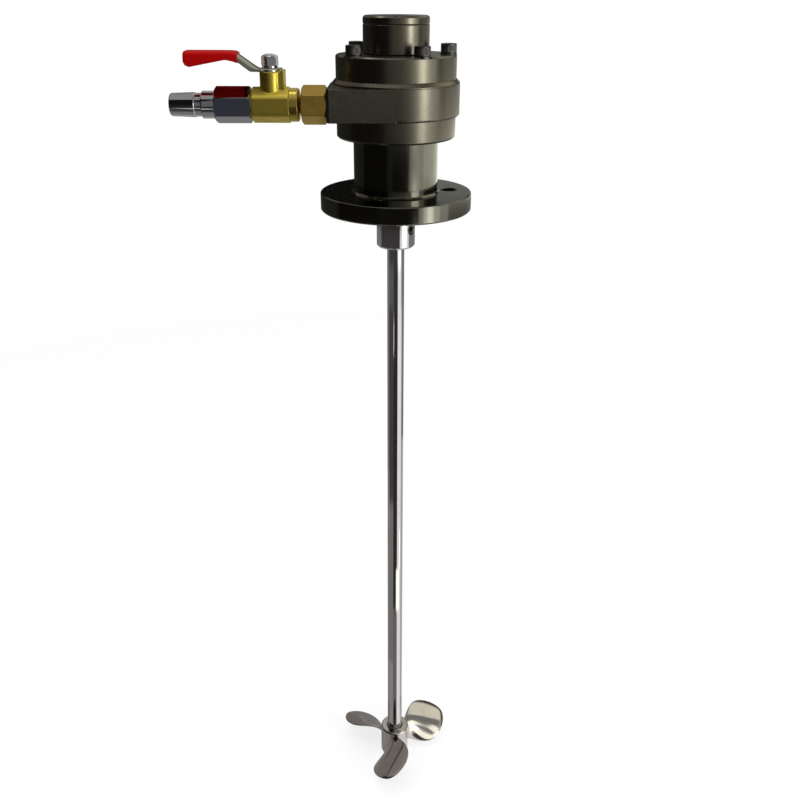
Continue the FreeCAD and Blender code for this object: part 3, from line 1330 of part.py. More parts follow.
# Coupler plug: threaded end, hexagon, collar, groove and nose in one turned piece

coupler_plug = turned("coupler_plug", [
    (half("plug_bore") + " - 1", f"{BODY_END} - sizes.plug_thread_length"),
    (half("plug_thread"), f"{BODY_END} - sizes.plug_thread_length"),
    (half("plug_thread"), PLUG_START),
    (half("collar_diameter"), PLUG_START),
    (half("collar_diameter"), GROOVE_START),
    (half("groove_diameter"), GROOVE_START),
    (half("groove_diameter"), NOSE_START),
    (half("nose_diameter"), f"{NOSE_START} + 0.3"),
    (half("nose_diameter"), f"{NOSE_END} - sizes.nose_chamfer"),
    ("sizes.nose_diameter / 2 - sizes.nose_chamfer", NOSE_END),
    (half("plug_bore"), NOSE_END),
    (half("plug_bore"), PLUG_START),
    (half("plug_bore") + " - 1", f"{PLUG_START} - 1"),
])
plug_hex = hexagon(new_sketch(coupler_plug, "XY_Plane", PLUG_START), "sizes.plug_flats",
                   "sizes.plug_angle")
circle(plug_hex, "sizes.plug_bore / 2 + 0.5")
pad(coupler_plug, plug_hex, "sizes.plug_hex_length")
hex_corners(coupler_plug, "sizes.plug_flats", PLUG_START, COLLAR_START)
node(lay_along_inlet(coupler_plug))


# Check every object, then write one file for each sub-part

doc.recompute()
for thing in doc.Objects:
    for state in thing.State:
        if state in ("Invalid", "Error"):
            raise RuntimeError(f"{thing.Label} is {state}")
os.makedirs("parts", exist_ok=True)
for thing in NODES:
    shape = thing.Shape
    if shape.isNull() or not shape.isValid() or not shape.Solids:
        raise RuntimeError(f"{thing.Label} has no valid shape")
    shape.exportStep(f"parts/{thing.Label}.step")
    print(f"{thing.Label:28s} solids {len(shape.Solids)}  volume {shape.Volume:10.1f}")
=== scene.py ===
"""Pneumatic agitator: how each of its pieces looks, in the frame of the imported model.

The sections follow the object as it is put together: bracket, motor, bearing cap and screws, air
line, valve and lever, sleeve, shaft and propeller, then the floor, the light and the camera.
Lengths are in millimetres while a piece is made, and in metres once it is finished.
"""
import math

import bmesh
import bpy
from mathutils import Matrix, Vector


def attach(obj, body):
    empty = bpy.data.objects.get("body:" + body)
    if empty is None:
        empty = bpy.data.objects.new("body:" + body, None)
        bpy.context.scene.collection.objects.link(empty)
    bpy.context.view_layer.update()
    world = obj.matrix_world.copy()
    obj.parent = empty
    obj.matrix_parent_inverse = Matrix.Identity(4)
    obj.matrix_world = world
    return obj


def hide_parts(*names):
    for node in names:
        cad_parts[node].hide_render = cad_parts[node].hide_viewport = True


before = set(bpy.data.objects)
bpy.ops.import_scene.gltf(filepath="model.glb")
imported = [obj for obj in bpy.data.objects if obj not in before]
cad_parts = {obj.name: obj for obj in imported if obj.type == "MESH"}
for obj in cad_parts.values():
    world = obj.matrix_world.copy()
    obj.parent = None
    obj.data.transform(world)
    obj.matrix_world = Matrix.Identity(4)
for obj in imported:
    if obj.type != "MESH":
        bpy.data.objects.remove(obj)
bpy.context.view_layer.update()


# Flange bracket
# A round flange and the neck above it, turned from one piece of aluminium and anodised black.
# Three holes take the mounting bolts, and four counterbored ones the screws up into the motor.

def new_piece(name, form):
    """An object from loose faces: doubles merged, faces turned outwards."""
    bmesh.ops.remove_doubles(form, verts=form.verts, dist=0.0004)
    bmesh.ops.recalc_face_normals(form, faces=form.faces)
    mesh = bpy.data.meshes.new(name)
    form.to_mesh(mesh)
    form.free()
    piece = bpy.data.objects.new(name, mesh)
    bpy.context.collection.objects.link(piece)
    return piece


def eased(outline, ease, step=None, bends=4):
    """An outline with its corners rounded, and its runs divided where a step is given.

    A third number in a corner is that corner's own rounding.
    """
    soft = []
    for index, corner in enumerate(outline):
        here, before, after = (Vector(outline[place % len(outline)][:2])
                               for place in (index, index - 1, index + 1))
        own = corner[2] if len(corner) > 2 else ease
        reach = min(own, (before - here).length * 0.45, (after - here).length * 0.45)
        if reach < 0.02 or here.x < 0.001:
            soft.append(here)
            continue
        start = here + (before - here).normalized() * reach
        end = here + (after - here).normalized() * reach
        for bend in range(bends + 1):
            share = bend / bends
            soft.append(start.lerp(here, share).lerp(here.lerp(end, share), share))
    if not step:
        return soft
    divided = []
    for here, after in zip(soft, soft[1:] + soft[:1]):
        on_the_line = here.x < 0.001 and after.x < 0.001
        parts = 1 if on_the_line else max(1, math.ceil((after - here).length / step))
        divided += [here.lerp(after, part / parts) for part in range(parts)]
    return divided


def turned(name, outline, ease=0.3, around=144, shape=None, first=0.0, step=None):
    """Turns an outline of radius and height pairs about the upright line.

    A shape changes the radius by height and angle, for flats, threads and knurling.
    """
    form = bmesh.new()
    rings = []
    for radius, height in eased(outline, ease, step):
        if radius < 0.001:
            rings.append([form.verts.new((0, 0, height))])
            continue
        ring = []
        for place in range(around):
            angle = first + 2 * math.pi * place / around
            own = shape(radius, height, angle) if shape else radius
            ring.append(form.verts.new((own * math.cos(angle), own * math.sin(angle), height)))
        rings.append(ring)
    for ring, after in zip(rings, rings[1:] + rings[:1]):
        if len(ring) == len(after) == 1:
            continue
        for place in range(around):
            form.faces.new(list(dict.fromkeys((
                ring[place % len(ring)], ring[(place + 1) % len(ring)],
                after[(place + 1) % len(after)], after[place % len(after)]))))
    return new_piece(name, form)


def together(pieces):
    """Several pieces as one mesh, in the first one's place."""
    if len(pieces) > 1:
        form = bmesh.new()
        for piece in pieces:
            form.from_mesh(piece.data)
        form.to_mesh(pieces[0].data)
        form.free()
        for piece in pieces[1:]:
            bpy.data.objects.remove(piece)
    return pieces[0]


def settled(piece):
    """The piece's modifiers become its plain mesh."""
    bpy.context.view_layer.update()
    graph = bpy.context.evaluated_depsgraph_get()
    mesh = bpy.data.meshes.new_from_object(piece.evaluated_get(graph),
                                           preserve_all_data_layers=True, depsgraph=graph)
    piece.modifiers.clear()
    piece.data = mesh
    return piece


def worked(piece, tools, task="DIFFERENCE"):
    """Cuts, joins or trims a piece with others, which are used up."""
    tool = together(tools)
    step = piece.modifiers.new("work", "BOOLEAN")
    step.operation, step.solver, step.object = task, "EXACT", tool
    settled(piece)
    bpy.data.objects.remove(tool)
    return piece


def hole(place, direction, outline, around=48, shape=None, step=None):
    """A cutter turned about a line that starts at a place on the surface and runs inwards."""
    cutter = turned("cutter", outline, 0, around, shape, step=step)
    lean = Vector(direction).to_track_quat("Z", "Y").to_matrix().to_4x4()
    cutter.data.transform(Matrix.Translation(place) @ lean)
    return cutter


def on_circle(diameter, degrees, level):
    """A place on a bolt circle."""
    angle = math.radians(degrees)
    return Vector((diameter / 2 * math.cos(angle), diameter / 2 * math.sin(angle), level))


def finished(piece, body, slot, material, *nodes, crisp=28):
    """Metres, smooth faces with crisp corners, a material, and the piece's place in the frame."""
    piece.data.transform(Matrix.Scale(0.001, 4))
    piece.data.materials.clear()
    piece.data.materials.append(material)
    piece.data.shade_smooth()
    piece.data.set_sharp_from_angle(angle=math.radians(crisp))
    even = piece.modifiers.new("even", "WEIGHTED_NORMAL")
    even.keep_sharp = True
    even.weight = 80
    settled(piece)
    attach(piece, body)
    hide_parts(*nodes)


def wire(tree, made, inputs):
    """Fills a node's inputs with values, or with the outputs of other nodes."""
    for socket, value in inputs.items():
        if isinstance(value, bpy.types.NodeSocket):
            tree.links.new(value, made.inputs[socket])
        else:
            made.inputs[socket].default_value = value
    return made


def node(tree, kind, inputs=None, **settings):
    """Adds a node to a tree, with its settings and then its inputs."""
    made = tree.nodes.new(kind)
    for setting, value in settings.items():
        setattr(made, setting, value)
    return wire(tree, made, inputs or {})


def surface(name, colour, roughness, metallic=1.0, marks=0.04, cloud=0.06, tint=0.12, grain=0.15,
            grain_size=0.18, line_size=0.12, worn=0.0, about=None):
    """A finish with the traces of its making, in millimetres on the piece.

    marks are the fine rings that a lathe leaves, cloud and tint the patches in gloss and colour,
    grain the small roughness that catches light, and worn how bare the edges are rubbed. about is
    the height of a lying axis that the rings go round, where it isn't the upright one.
    """
    material = bpy.data.materials.new(name)
    material.use_nodes = True
    tree = material.node_tree

    def spread(value, low, high, least=0.0, most=1.0):
        """What lies between low and high, laid out from least to most."""
        return node(tree, "ShaderNodeMapRange", {
            "Value": value, "From Min": low, "From Max": high, "To Min": least, "To Max": most},
            clamp=True).outputs["Result"]

    def noise(vector, size, detail):
        made = node(tree, "ShaderNodeTexNoise",
                    {"Vector": vector, "Scale": 1 / size, "Detail": detail})
        return spread(made.outputs["Fac"], 0.25, 0.75)

    def combined(task, first, second):
        return node(tree, "ShaderNodeMath", {0: first, 1: second}, operation=task).outputs[0]

    def mixed(share, first, second):
        return node(tree, "ShaderNodeMix", {"Factor": share, 6: first, 7: (*second, 1)},
                    data_type="RGBA").outputs[2]

    at = node(tree, "ShaderNodeMapping", {
        "Vector": node(tree, "ShaderNodeTexCoord").outputs["Object"], "Scale": (1000, 1000, 1000)})
    if about is not None:
        wire(tree, at, {"Rotation": (0, math.radians(90), 0), "Location": (-about, 10, 0)})
    place = at.outputs["Vector"]
    flat = node(tree, "ShaderNodeVectorMath", {0: place, 1: (1, 1, 0)}, operation="MULTIPLY")
    radius = node(tree, "ShaderNodeVectorMath", {0: flat.outputs["Vector"]}, operation="LENGTH")
    height = node(tree, "ShaderNodeSeparateXYZ", {"Vector": place})
    ring = node(tree, "ShaderNodeCombineXYZ",
                {"X": radius.outputs["Value"], "Y": height.outputs["Z"]})

    rings = noise(ring.outputs["Vector"], line_size, 3)
    clouds = noise(place, 9, 4)
    grains = noise(place, grain_size, 2)
    gloss = combined("ADD", spread(clouds, 0, 1, roughness - cloud, roughness + cloud),
                     spread(rings, 0, 1, -marks, marks))
    shown = mixed(clouds, (*colour, 1), [part * (1 - tint) for part in colour])
    if worn:
        edges = node(tree, "ShaderNodeNewGeometry").outputs["Pointiness"]
        bare = combined("MULTIPLY", spread(edges, 0.53, 0.62, 0, worn), noise(place, 2.5, 5))
        shown = mixed(bare, shown, (0.5, 0.5, 0.48))
    bump = node(tree, "ShaderNodeBump", {
        "Height": combined("ADD", grains, spread(rings, 0, 1, 0, marks * 10)),
        "Strength": grain, "Distance": 0.000012})
    wire(tree, tree.nodes["Principled BSDF"], {
        "Metallic": metallic, "Base Color": shown, "Roughness": combined("MAXIMUM", gloss, 0.03),
        "Normal": bump.outputs["Normal"]})
    return material


UP, DOWN = (0, 0, 1), (0, 0, -1)
BOLT_CIRCLE, BOLT_TURNS = 60, (6.5, 126.5, 246.5)
BRACKET_CIRCLE, BRACKET_TURNS = 39.5, (45, 135, 225, 315)
glossy_anodised = surface("glossy_anodised", (0.165, 0.16, 0.128), 0.13, marks=0.005, cloud=0.015,
                          grain=0.04, worn=0.2)
bracket = turned("bracket", [
    (15, 0), (41.7, 0), (42.5, 0.8), (42.5, 9.5), (42, 10), (24.5, 10), (23.5, 11),
    (23.5, 40), (16.05, 40), (16.05, 27.5), (15, 27.5)], 0.25, 192)
worked(bracket, [
    hole(on_circle(BOLT_CIRCLE, turn, 10), DOWN,
         [(0, -1), (4.9, -1), (4.9, 0), (4.5, 0.4), (4.5, 9.6), (4.9, 10), (4.9, 11), (0, 11)])
    for turn in BOLT_TURNS] + [
    hole(on_circle(BRACKET_CIRCLE, turn, 0), UP,
         [(0, -1), (4.3, -1), (4.3, 0), (4, 0.3), (4, 5), (2.25, 5), (2.25, 41), (0, 41)])
    for turn in BRACKET_TURNS])
finished(bracket, "motor", "anodised_black", glossy_anodised, "flange_bracket")


# Bracket screws
# Four black socket head screws, put in from below, which hold the bracket to the lower end plate.

def six_sided(flats, turn=0.0):
    """Holds a turned outline within a hexagon that has a corner at the turn."""
    def held(radius, height, angle):
        off = (angle - turn) % (math.pi / 3) - math.pi / 6
        return min(radius, flats / 2 / math.cos(off))
    return held


def socket_screw(thread, head, height, length, socket, depth, knurls=0):
    """A socket head screw that stands on its seat, its head knurled where a count is given."""
    def knurled(radius, level, angle):
        if radius < head / 2 - 0.05 or not 0.7 < level < height - 0.9:
            return radius
        return radius - 0.12 * abs(math.sin(knurls * angle / 2))
    screw = turned("screw", [
        (0, -length), (thread / 2 - 0.5, -length), (thread / 2, -length + 0.5), (thread / 2, 0),
        (head / 2, 0), (head / 2, height, 0.5), (0, height)], 0.2, 160 if knurls else 64,
        knurled if knurls else None, step=0.65 if knurls else None)
    corner = socket / 2 / math.cos(math.pi / 6)
    return worked(screw, [hole((0, 0, height), DOWN, [
        (0, -1), (corner + 0.35, -1), (corner + 0.35, 0), (corner - 0.1, 0.35),
        (corner + 0.02, 0.36), (corner + 0.02, depth), (0, depth + 0.5)], 48, six_sided(socket))])


def named_inputs(tree, *wanted):
    """Adds named inputs to a tree, and its one output."""
    for name, kind in wanted:
        tree.interface.new_socket(name, in_out="INPUT", socket_type=f"NodeSocket{kind}")
    tree.interface.new_socket("Made", in_out="OUTPUT", socket_type="NodeSocketGeometry")


def hand_out(tree, geometry, material):
    """Ends a tree: what it made becomes plain faces in one material."""
    real = node(tree, "GeometryNodeRealizeInstances", {"Geometry": geometry})
    skin = node(tree, "GeometryNodeSetMaterial",
                {"Geometry": real.outputs["Geometry"], "Material": material})
    node(tree, "NodeGroupOutput", {"Made": skin.outputs["Geometry"]})


set_tree = bpy.data.node_groups.new("set on marks", "GeometryNodeTree")
named_inputs(set_tree, ("Marks", "Geometry"), ("Piece", "Object"), ("Turn", "Float"),
             ("Seed", "Int"), ("Material", "Material"))


def build_set_tree(tree):
    """Sets one piece on every mark, its axis along the mark's direction, turned by chance."""
    given = node(tree, "NodeGroupInput").outputs
    piece = node(tree, "GeometryNodeObjectInfo", {"Object": given["Piece"]})
    direction = node(tree, "GeometryNodeInputNamedAttribute", {"Name": "direction"},
                     data_type="FLOAT_VECTOR")
    along = node(tree, "FunctionNodeAlignRotationToVector",
                 {"Vector": direction.outputs["Attribute"]}, axis="Z")
    chance = node(tree, "FunctionNodeRandomValue", {"Seed": given["Seed"]})
    spin = node(tree, "ShaderNodeMath", {0: chance.outputs["Value"], 1: given["Turn"]},
                operation="MULTIPLY")
    about = node(tree, "FunctionNodeAxisAngleToRotation",
                 {"Axis": (0, 0, 1), "Angle": spin.outputs[0]})
    turn = node(tree, "FunctionNodeRotateRotation", {
        "Rotation": along.outputs["Rotation"], "Rotate By": about.outputs["Rotation"]},
        rotation_space="LOCAL")
    put = node(tree, "GeometryNodeInstanceOnPoints", {
        "Points": given["Marks"], "Instance": piece.outputs["Geometry"],
        "Rotation": turn.outputs["Rotation"]})
    hand_out(tree, put.outputs["Instances"], given["Material"])


build_set_tree(set_tree)


def made_by(tree, name, mesh=None, **settings):
    """An object that a tree makes. Its inputs are set before it is first worked out."""
    piece = bpy.data.objects.new(name, mesh or bpy.data.meshes.new(name))
    step = piece.modifiers.new("made", "NODES")
    step.node_group = tree
    for socket in tree.interface.items_tree:
        if socket.in_out == "INPUT" and socket.name.replace(" ", "_") in settings:
            step[socket.identifier] = settings[socket.name.replace(" ", "_")]
    bpy.context.collection.objects.link(piece)
    return settled(piece)


def set_on(name, piece, marks, material, seed):
    """Like pieces on marks, each a place and an outward direction. The first piece is used up."""
    mesh = bpy.data.meshes.new(name)
    mesh.from_pydata([place for place, _ in marks], [], [])
    direction = mesh.attributes.new("direction", "FLOAT_VECTOR", "POINT")
    for index, (_, way) in enumerate(marks):
        direction.data[index].vector = way
    made = made_by(set_tree, name, mesh, Piece=piece, Turn=2 * math.pi, Seed=seed,
                   Material=material)
    bpy.data.objects.remove(piece)
    return made


black_oxide = surface("black_oxide", (0.1, 0.095, 0.09), 0.32, marks=0.04, cloud=0.06, grain=0.3,
                      worn=0.12)


def black_screws(name, screw, marks, body, cad_node, seed):
    """Like black screws on marks, in place of a CAD node."""
    finished(set_on(name, screw, marks, black_oxide, seed), body, "black_oxide", black_oxide,
             cad_node)


black_screws("bracket_screws_below", socket_screw(4, 7, 4, 45, 3, 2),
             [(on_circle(BRACKET_CIRCLE, turn, 5), DOWN) for turn in BRACKET_TURNS],
             "motor", "bracket_screws", 3)


# Lower end plate
# A turned plate that closes the cylinder from below. Its spigot centres the bracket and holds the
# lower bearing and the shaft seal. Aluminium, anodised black with a satin face.

BLOCK_FOOT, BLOCK_TOP, PLATE_TOP = 51.5, 68.3, 83.3
COVER_CIRCLE, COVER_TURNS, PIN_TURNS = 56, (0, 61.5, -61.5, 141.5, -141.5), (115, -115)


def drilled(diameter, turns, level, way, radius, depth, tip=0.0):
    """Cutters for a circle of plain drilled holes."""
    return [hole(on_circle(diameter, turn, level), way,
                 [(0, -1), (radius, -1), (radius, depth), (0, depth + tip)], 32)
            for turn in turns]


satin_anodised = surface("satin_anodised", (0.17, 0.158, 0.12), 0.27, marks=0.005, cloud=0.012,
                         tint=0.1, grain=0.12, worn=0.25)
lower_plate = turned("lower_plate", [
    (5.2, BLOCK_FOOT), (32.5, BLOCK_FOOT), (32.5, 41), (31.5, 40), (16, 40), (16, 28.5),
    (11, 28.5), (11, 39.3), (11.7, 39.3), (11.7, 40.5), (11, 40.5), (11, 46.5), (8, 46.5),
    (8, 46.9), (5.2, 46.9)], 0.2, 192)
worked(lower_plate, drilled(COVER_CIRCLE, COVER_TURNS, BLOCK_FOOT, DOWN, 2.52, 9, 1)
       + drilled(COVER_CIRCLE, PIN_TURNS, BLOCK_FOOT, DOWN, 2.02, 4.7)
       + drilled(BRACKET_CIRCLE, BRACKET_TURNS, 40, UP, 2.02, 10.2, 0.8))
finished(lower_plate, "motor", "anodised_black", satin_anodised, "lower_end_plate")


# Cylinder block
# The ring that the rotor turns in, with a flat pad at one corner for the air inlet and a round
# seat at the back for the exhaust. Aluminium, sawn and turned, anodised black.

INLET_LEVEL = 57.95


def skinned(name, sections):
    """A row of closed sections skinned over, both ends closed."""
    form = bmesh.new()
    rows = [[form.verts.new(point) for point in section] for section in sections]
    for row, after in zip(rows, rows[1:]):
        for place in range(len(row)):
            form.faces.new((row[place - 1], row[place], after[place], after[place - 1]))
    form.faces.new(rows[0])
    form.faces.new(rows[-1])
    return new_piece(name, form)


def slab(name, outline, low, high, ease=0.25):
    """An outline pulled straight up, its rims slightly eased."""
    corners = [Vector(corner) for corner in outline]
    area = sum(a.x * b.y - a.y * b.x for a, b in zip(corners, corners[1:] + corners[:1]))
    side = 1 if area > 0 else -1

    def inset(amount):
        moved = []
        for index, here in enumerate(corners):
            before = (here - corners[index - 1]).normalized()
            after = (corners[(index + 1) % len(corners)] - here).normalized()
            inward = Vector((-before.y - after.y, before.x + after.x)) * side
            inward = inward / max(0.2, inward.dot(Vector((-before.y, before.x)) * side))
            moved.append(here + inward * amount)
        return moved

    return skinned(name, [[(*corner, height) for corner in inset(amount)] for height, amount in (
        (low, ease), (low + 0.3 * ease, 0.3 * ease), (low + ease, 0),
        (high - ease, 0), (high - 0.3 * ease, 0.3 * ease), (high, ease))])


def threaded(pitch, depth, start, end):
    """Cuts a thread into a turned outline between two heights."""
    def cut(radius, height, angle):
        if not start <= height <= end:
            return radius
        share = (height / pitch - angle / (2 * math.pi)) % 1
        return radius - depth * (1 - abs(2 * share - 1))
    return cut


block = turned("block", [
    (0, BLOCK_FOOT), (33.5, BLOCK_FOOT), (34.5, 52.5), (34.5, BLOCK_TOP), (0, BLOCK_TOP)],
    0.25, 192)
worked(block, [slab("pad", [(0.4, -34.2), (0.4, 6), (-35.7, 6), (-35.7, -33), (-34.2, -34.5),
                            (-0.4, -34.5)], BLOCK_FOOT, BLOCK_TOP, 0.3)], "UNION")
worked(block, [hole((2.3, 0, BLOCK_TOP), DOWN,
                    [(0, -1), (20.5, -1), (20.5, 18), (0, 18)], 128)])
worked(block, [
    hole((-35.7, -10, INLET_LEVEL), (1, 0, 0),
         [(0, -1), (5.3, -1), (5.3, 0), (4.9, 0.4), (4.9, 9), (3.25, 9.6), (3.25, 24), (0, 24)]),
    hole((0, 33.4, 59.9), (0, -1, 0),
         [(0, -3), (7.75, -3), (7.75, 0), (5.4, 0), (4.9, 0.5), (4.9, 6.5), (3.7, 7.2), (3.7, 20),
          (0, 20)], 72, threaded(1.3, -0.35, 0.5, 6.5), step=0.26)]
       + drilled(COVER_CIRCLE, COVER_TURNS, BLOCK_TOP, DOWN, 2.75, 18)
       + drilled(COVER_CIRCLE, PIN_TURNS, BLOCK_TOP, DOWN, 2.02, 18))
finished(block, "motor", "anodised_black", satin_anodised, "cylinder_block")


# Upper end plate
# Closes the cylinder from above and holds the upper bearing. It has a thin foot that is as wide as
# the block, a rounded step above it, and a small round seat under each screw.

upper_plate = turned("upper_plate", [
    (5.2, BLOCK_TOP), (34.5, BLOCK_TOP), (34.5, 69, 0.35), (33, 70.8, 0.6), (32.5, 70.8),
    (32.5, 82.5), (31.7, PLATE_TOP), (11, PLATE_TOP), (11, 77.3), (8, 77.3), (8, 76.9),
    (5.2, 76.9)], 0.22, 192)
worked(upper_plate, [
    hole(on_circle(COVER_CIRCLE, turn, PLATE_TOP), DOWN,
         [(0, -1), (5.1, -1), (5, 0.8), (2.75, 0.8), (2.75, 20), (0, 20)])
    for turn in COVER_TURNS] + drilled(COVER_CIRCLE, PIN_TURNS, BLOCK_TOP, UP, 2.02, 4.7))
finished(upper_plate, "motor", "anodised_black", satin_anodised, "upper_end_plate")


# Bearing cap and lid
# A short collar over the upper bearing and the lid that closes it, both turned and anodised.
# Three small countersunk screws go down through both.

bearing_collar = turned("bearing_collar", [
    (10, PLATE_TOP), (17.15, PLATE_TOP), (17.75, 83.9), (17.75, 97.95), (17.4, 98.3), (10, 98.3)],
    0.1, 144)
finished(bearing_collar, "motor", "anodised_black", satin_anodised, "bearing_cap")

LID_TOP, LID_CIRCLE, LID_TURNS = 102.6, 28.8, (30, 150, 270)
lid = turned("lid", [
    (0, 95.3), (9.95, 95.3), (9.95, 98.3), (17.4, 98.3), (17.75, 98.65), (17.75, 101.6),
    (16.75, LID_TOP), (0, LID_TOP)], 0.14, 144)
worked(lid, [
    hole(on_circle(LID_CIRCLE, turn, LID_TOP), DOWN,
         [(0, -0.5), (3.35, -0.5), (2.85, 0), (1.65, 1.7), (1.65, 8), (0, 8)])
    for turn in LID_TURNS])
finished(lid, "motor", "anodised_black", satin_anodised, "cap_lid")

countersunk = turned("countersunk", [
    (0, -26), (1.2, -26), (1.5, -25.6), (1.5, -1.75), (2.78, -0.25), (2.78, 0), (0, 0)], 0.08, 64)
worked(countersunk, [hole((0, 0, 0), DOWN, [(0, -1), (1.2, -1), (1.2, 1.1), (0, 1.4)],
                          48, six_sided(2))])
black_screws("lid_screws", countersunk,
             [(on_circle(LID_CIRCLE, turn, LID_TOP), UP) for turn in LID_TURNS],
             "motor", "cap_screws", 5)


# Cover screws and spring washers
# Five long black socket head screws with knurled heads clamp both end plates to the block. Each
# sits on a split washer of flat spring steel whose ends stand slightly apart.

black_screws("long_screws", socket_screw(5, 8.5, 5, 40, 4, 2.5, knurls=40),
             [(on_circle(COVER_CIRCLE, turn, 83.7), UP) for turn in COVER_TURNS],
             "motor", "cover_screws", 8)


def split_washer(inner, outer, thickness, slit):
    """A coil of flat wire, less one narrow slit, that rises a little from end to end."""
    wire_outline = eased([(inner, 0.08), (outer, 0.08), (outer, thickness - 0.08),
                          (inner, thickness - 0.08)], 0.18, bends=2)
    gap, steps, sections = slit / outer * 2, 72, []
    for place in range(steps + 1):
        share = place / steps
        angle = gap / 2 + share * (2 * math.pi - gap)
        rise = 0.16 * (share - 0.5)
        sections.append([(radius * math.cos(angle), radius * math.sin(angle), height + rise)
                         for radius, height in wire_outline])
    return skinned("washer", sections)


spring_steel = surface("spring_steel", (0.16, 0.155, 0.15), 0.3, marks=0.06, cloud=0.08, grain=0.4,
                       worn=0.6)
finished(set_on("split_washers", split_washer(2.75, 4.5, 1.2, 0.8),
                [(on_circle(COVER_CIRCLE, turn, 82.5), UP) for turn in COVER_TURNS],
                spring_steel, 2),
         "motor", "spring_steel", spring_steel, "spring_washers")


# Seal washer and hexagon adaptor
# A black fibre washer seals the adaptor against the pad. The adaptor is turned from brown brass
# hexagon bar, with its corners turned off at both ends and a thread that shows beyond it.

def laid(piece):
    """Lays a piece that was made upright along the inlet, foot towards the block."""
    piece.data.transform(Matrix(((0, 0, -1, 0), (0, 1, 0, -10), (1, 0, 0, INLET_LEVEL),
                                 (0, 0, 0, 1))))
    return piece


def hexagon_bar(flats, low, high, turn=0.0):
    """A length of hexagon bar, a corner at the turn."""
    corner = flats / 2 / math.cos(math.pi / 6)
    return turned("bar", [(0, low), (corner, low), (corner, high), (0, high)], 0, 6,
                  first=math.radians(turn))


fibre = surface("fibre", (0.02, 0.02, 0.02), 0.5, 0.0, marks=0.03, cloud=0.1, grain=0.6)
seal = turned("fibre_washer", [(4.9, 35.7), (7.5, 35.7), (7.5, 36.8), (4.9, 36.8)], 0.2, 96)
finished(laid(seal), "motor", "rubber", fibre, "inlet_seal_washer")

bar_brass = surface("bar_brass", (0.72, 0.47, 0.1), 0.26, marks=0.02, cloud=0.05, tint=0.25,
                    grain=0.15, about=INLET_LEVEL)
adaptor = turned("adaptor", [
    (3, 28.4), (4.3, 28.4), (4.85, 29), (4.85, 36.8), (8.9, 36.8), (10.28, 37.77),
    (10.28, 49.13), (8.9, 50.1), (4.85, 50.1), (4.85, 56), (4.3, 56.6), (3, 56.6)],
    0.12, 120, threaded(1.3, 0.5, 50.1, 56), step=0.33)
worked(adaptor, [hexagon_bar(18, 20, 60, 4)], "INTERSECT")
finished(laid(adaptor), "motor", "brass", bar_brass, "inlet_adaptor")


# Ball valve: end retainer and body
# The retainer is turned brass, screwed into the body to hold the ball. The body is forged brass,
# a soft-edged hexagon with a round boss for the stem and a lug that stops the lever.

forged_brass = surface("forged_brass", (0.78, 0.61, 0.1), 0.38, marks=0.0, cloud=0.06, tint=0.2,
                       grain=0.5, grain_size=0.35, about=INLET_LEVEL)
turned_brass = surface("turned_brass", (0.68, 0.53, 0.11), 0.25, marks=0.02, cloud=0.04, tint=0.2,
                       grain=0.15, about=INLET_LEVEL)
finished(laid(turned("retainer", [
    (4.9, 51.4), (7.9, 51.4), (8.7, 52.2), (8.7, 56.4), (7, 56.4), (7, 62), (2.75, 62),
    (2.75, 57.1), (4.9, 57.1)], 0.18, 144)), "motor", "brass", turned_brass, "valve_end_retainer")


def softened(name, cad_node, voxel, passes):
    """A forged form: the CAD node's own shape with all its edges worn round."""
    form = bmesh.new()
    form.from_mesh(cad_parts[cad_node].data)
    bmesh.ops.remove_doubles(form, verts=form.verts, dist=0.000002)
    bmesh.ops.scale(form, vec=(1000, 1000, 1000), verts=form.verts)
    piece = new_piece(name, form)
    melt = piece.modifiers.new("melt", "REMESH")
    melt.mode, melt.voxel_size = "VOXEL", voxel
    smooth = piece.modifiers.new("smooth", "SMOOTH")
    smooth.factor, smooth.iterations = 0.5, passes
    return settled(piece)


finished(softened("forged_body", "valve_body", 0.28, 5), "motor", "brass", forged_brass,
         "valve_body", crisp=60)


# Lever, grip, washer and nut
# The lever is pressed from zinc-plated steel sheet: an eye with two stop ears and an arm that is a
# channel open below. The grip is a thick dip of glossy red. A washer and a domed nut hold them.

STEM = Vector((-66.3, -10, 0))
plated_steel = surface("plated_steel", (0.72, 0.7, 0.6), 0.26, marks=0.0, cloud=0.08, tint=0.25,
                       grain=0.8, grain_size=0.5)


def lesser(first, second, width):
    """The lesser of two heights, rounded over where they cross."""
    return (first + second - math.sqrt((first - second) ** 2 + width ** 2)) / 2


def level_at(line, reach, spread=0.9):
    """The height of a bent line at a distance from the stem, its corners rounded by a spread."""
    def straight(place):
        for (near, low), (far, high) in zip(line, line[1:]):
            if place <= far:
                return low + (high - low) * (place - near) / (far - near)
        return line[-1][1]
    return sum(straight(min(max(reach + spread * part / 4, line[0][0]), line[-1][0]))
               for part in range(-4, 5)) / 9


def channel_section(reach, half, top, bottom, ceiling, wall, bend, lip):
    """One section across the arm: a channel open below, with round outer bends."""
    bend = min(bend, (top - bottom) * 0.5, half * 0.9)
    lip = min(lip, (top - bottom) * 0.2, half * 0.1)
    inner = max(half - wall, half * 0.2)
    tight = min(0.4, max(0.0, ceiling - bottom) * 0.5)
    quarter = [math.radians(15 * part) for part in range(7)]
    right = [(half - lip + lip * math.sin(a), bottom + lip - lip * math.cos(a)) for a in quarter]
    right += [(half - bend + bend * math.cos(a), top - bend + bend * math.sin(a)) for a in quarter]
    under = [(inner - tight + tight * math.sin(a), ceiling - tight + tight * math.cos(a))
             for a in quarter] + [(inner, bottom)]
    section = right + [(-y, z) for y, z in reversed(right)]
    section += [(-y, z) for y, z in reversed(under)] + under
    return [(-reach, y, z) for y, z in section]


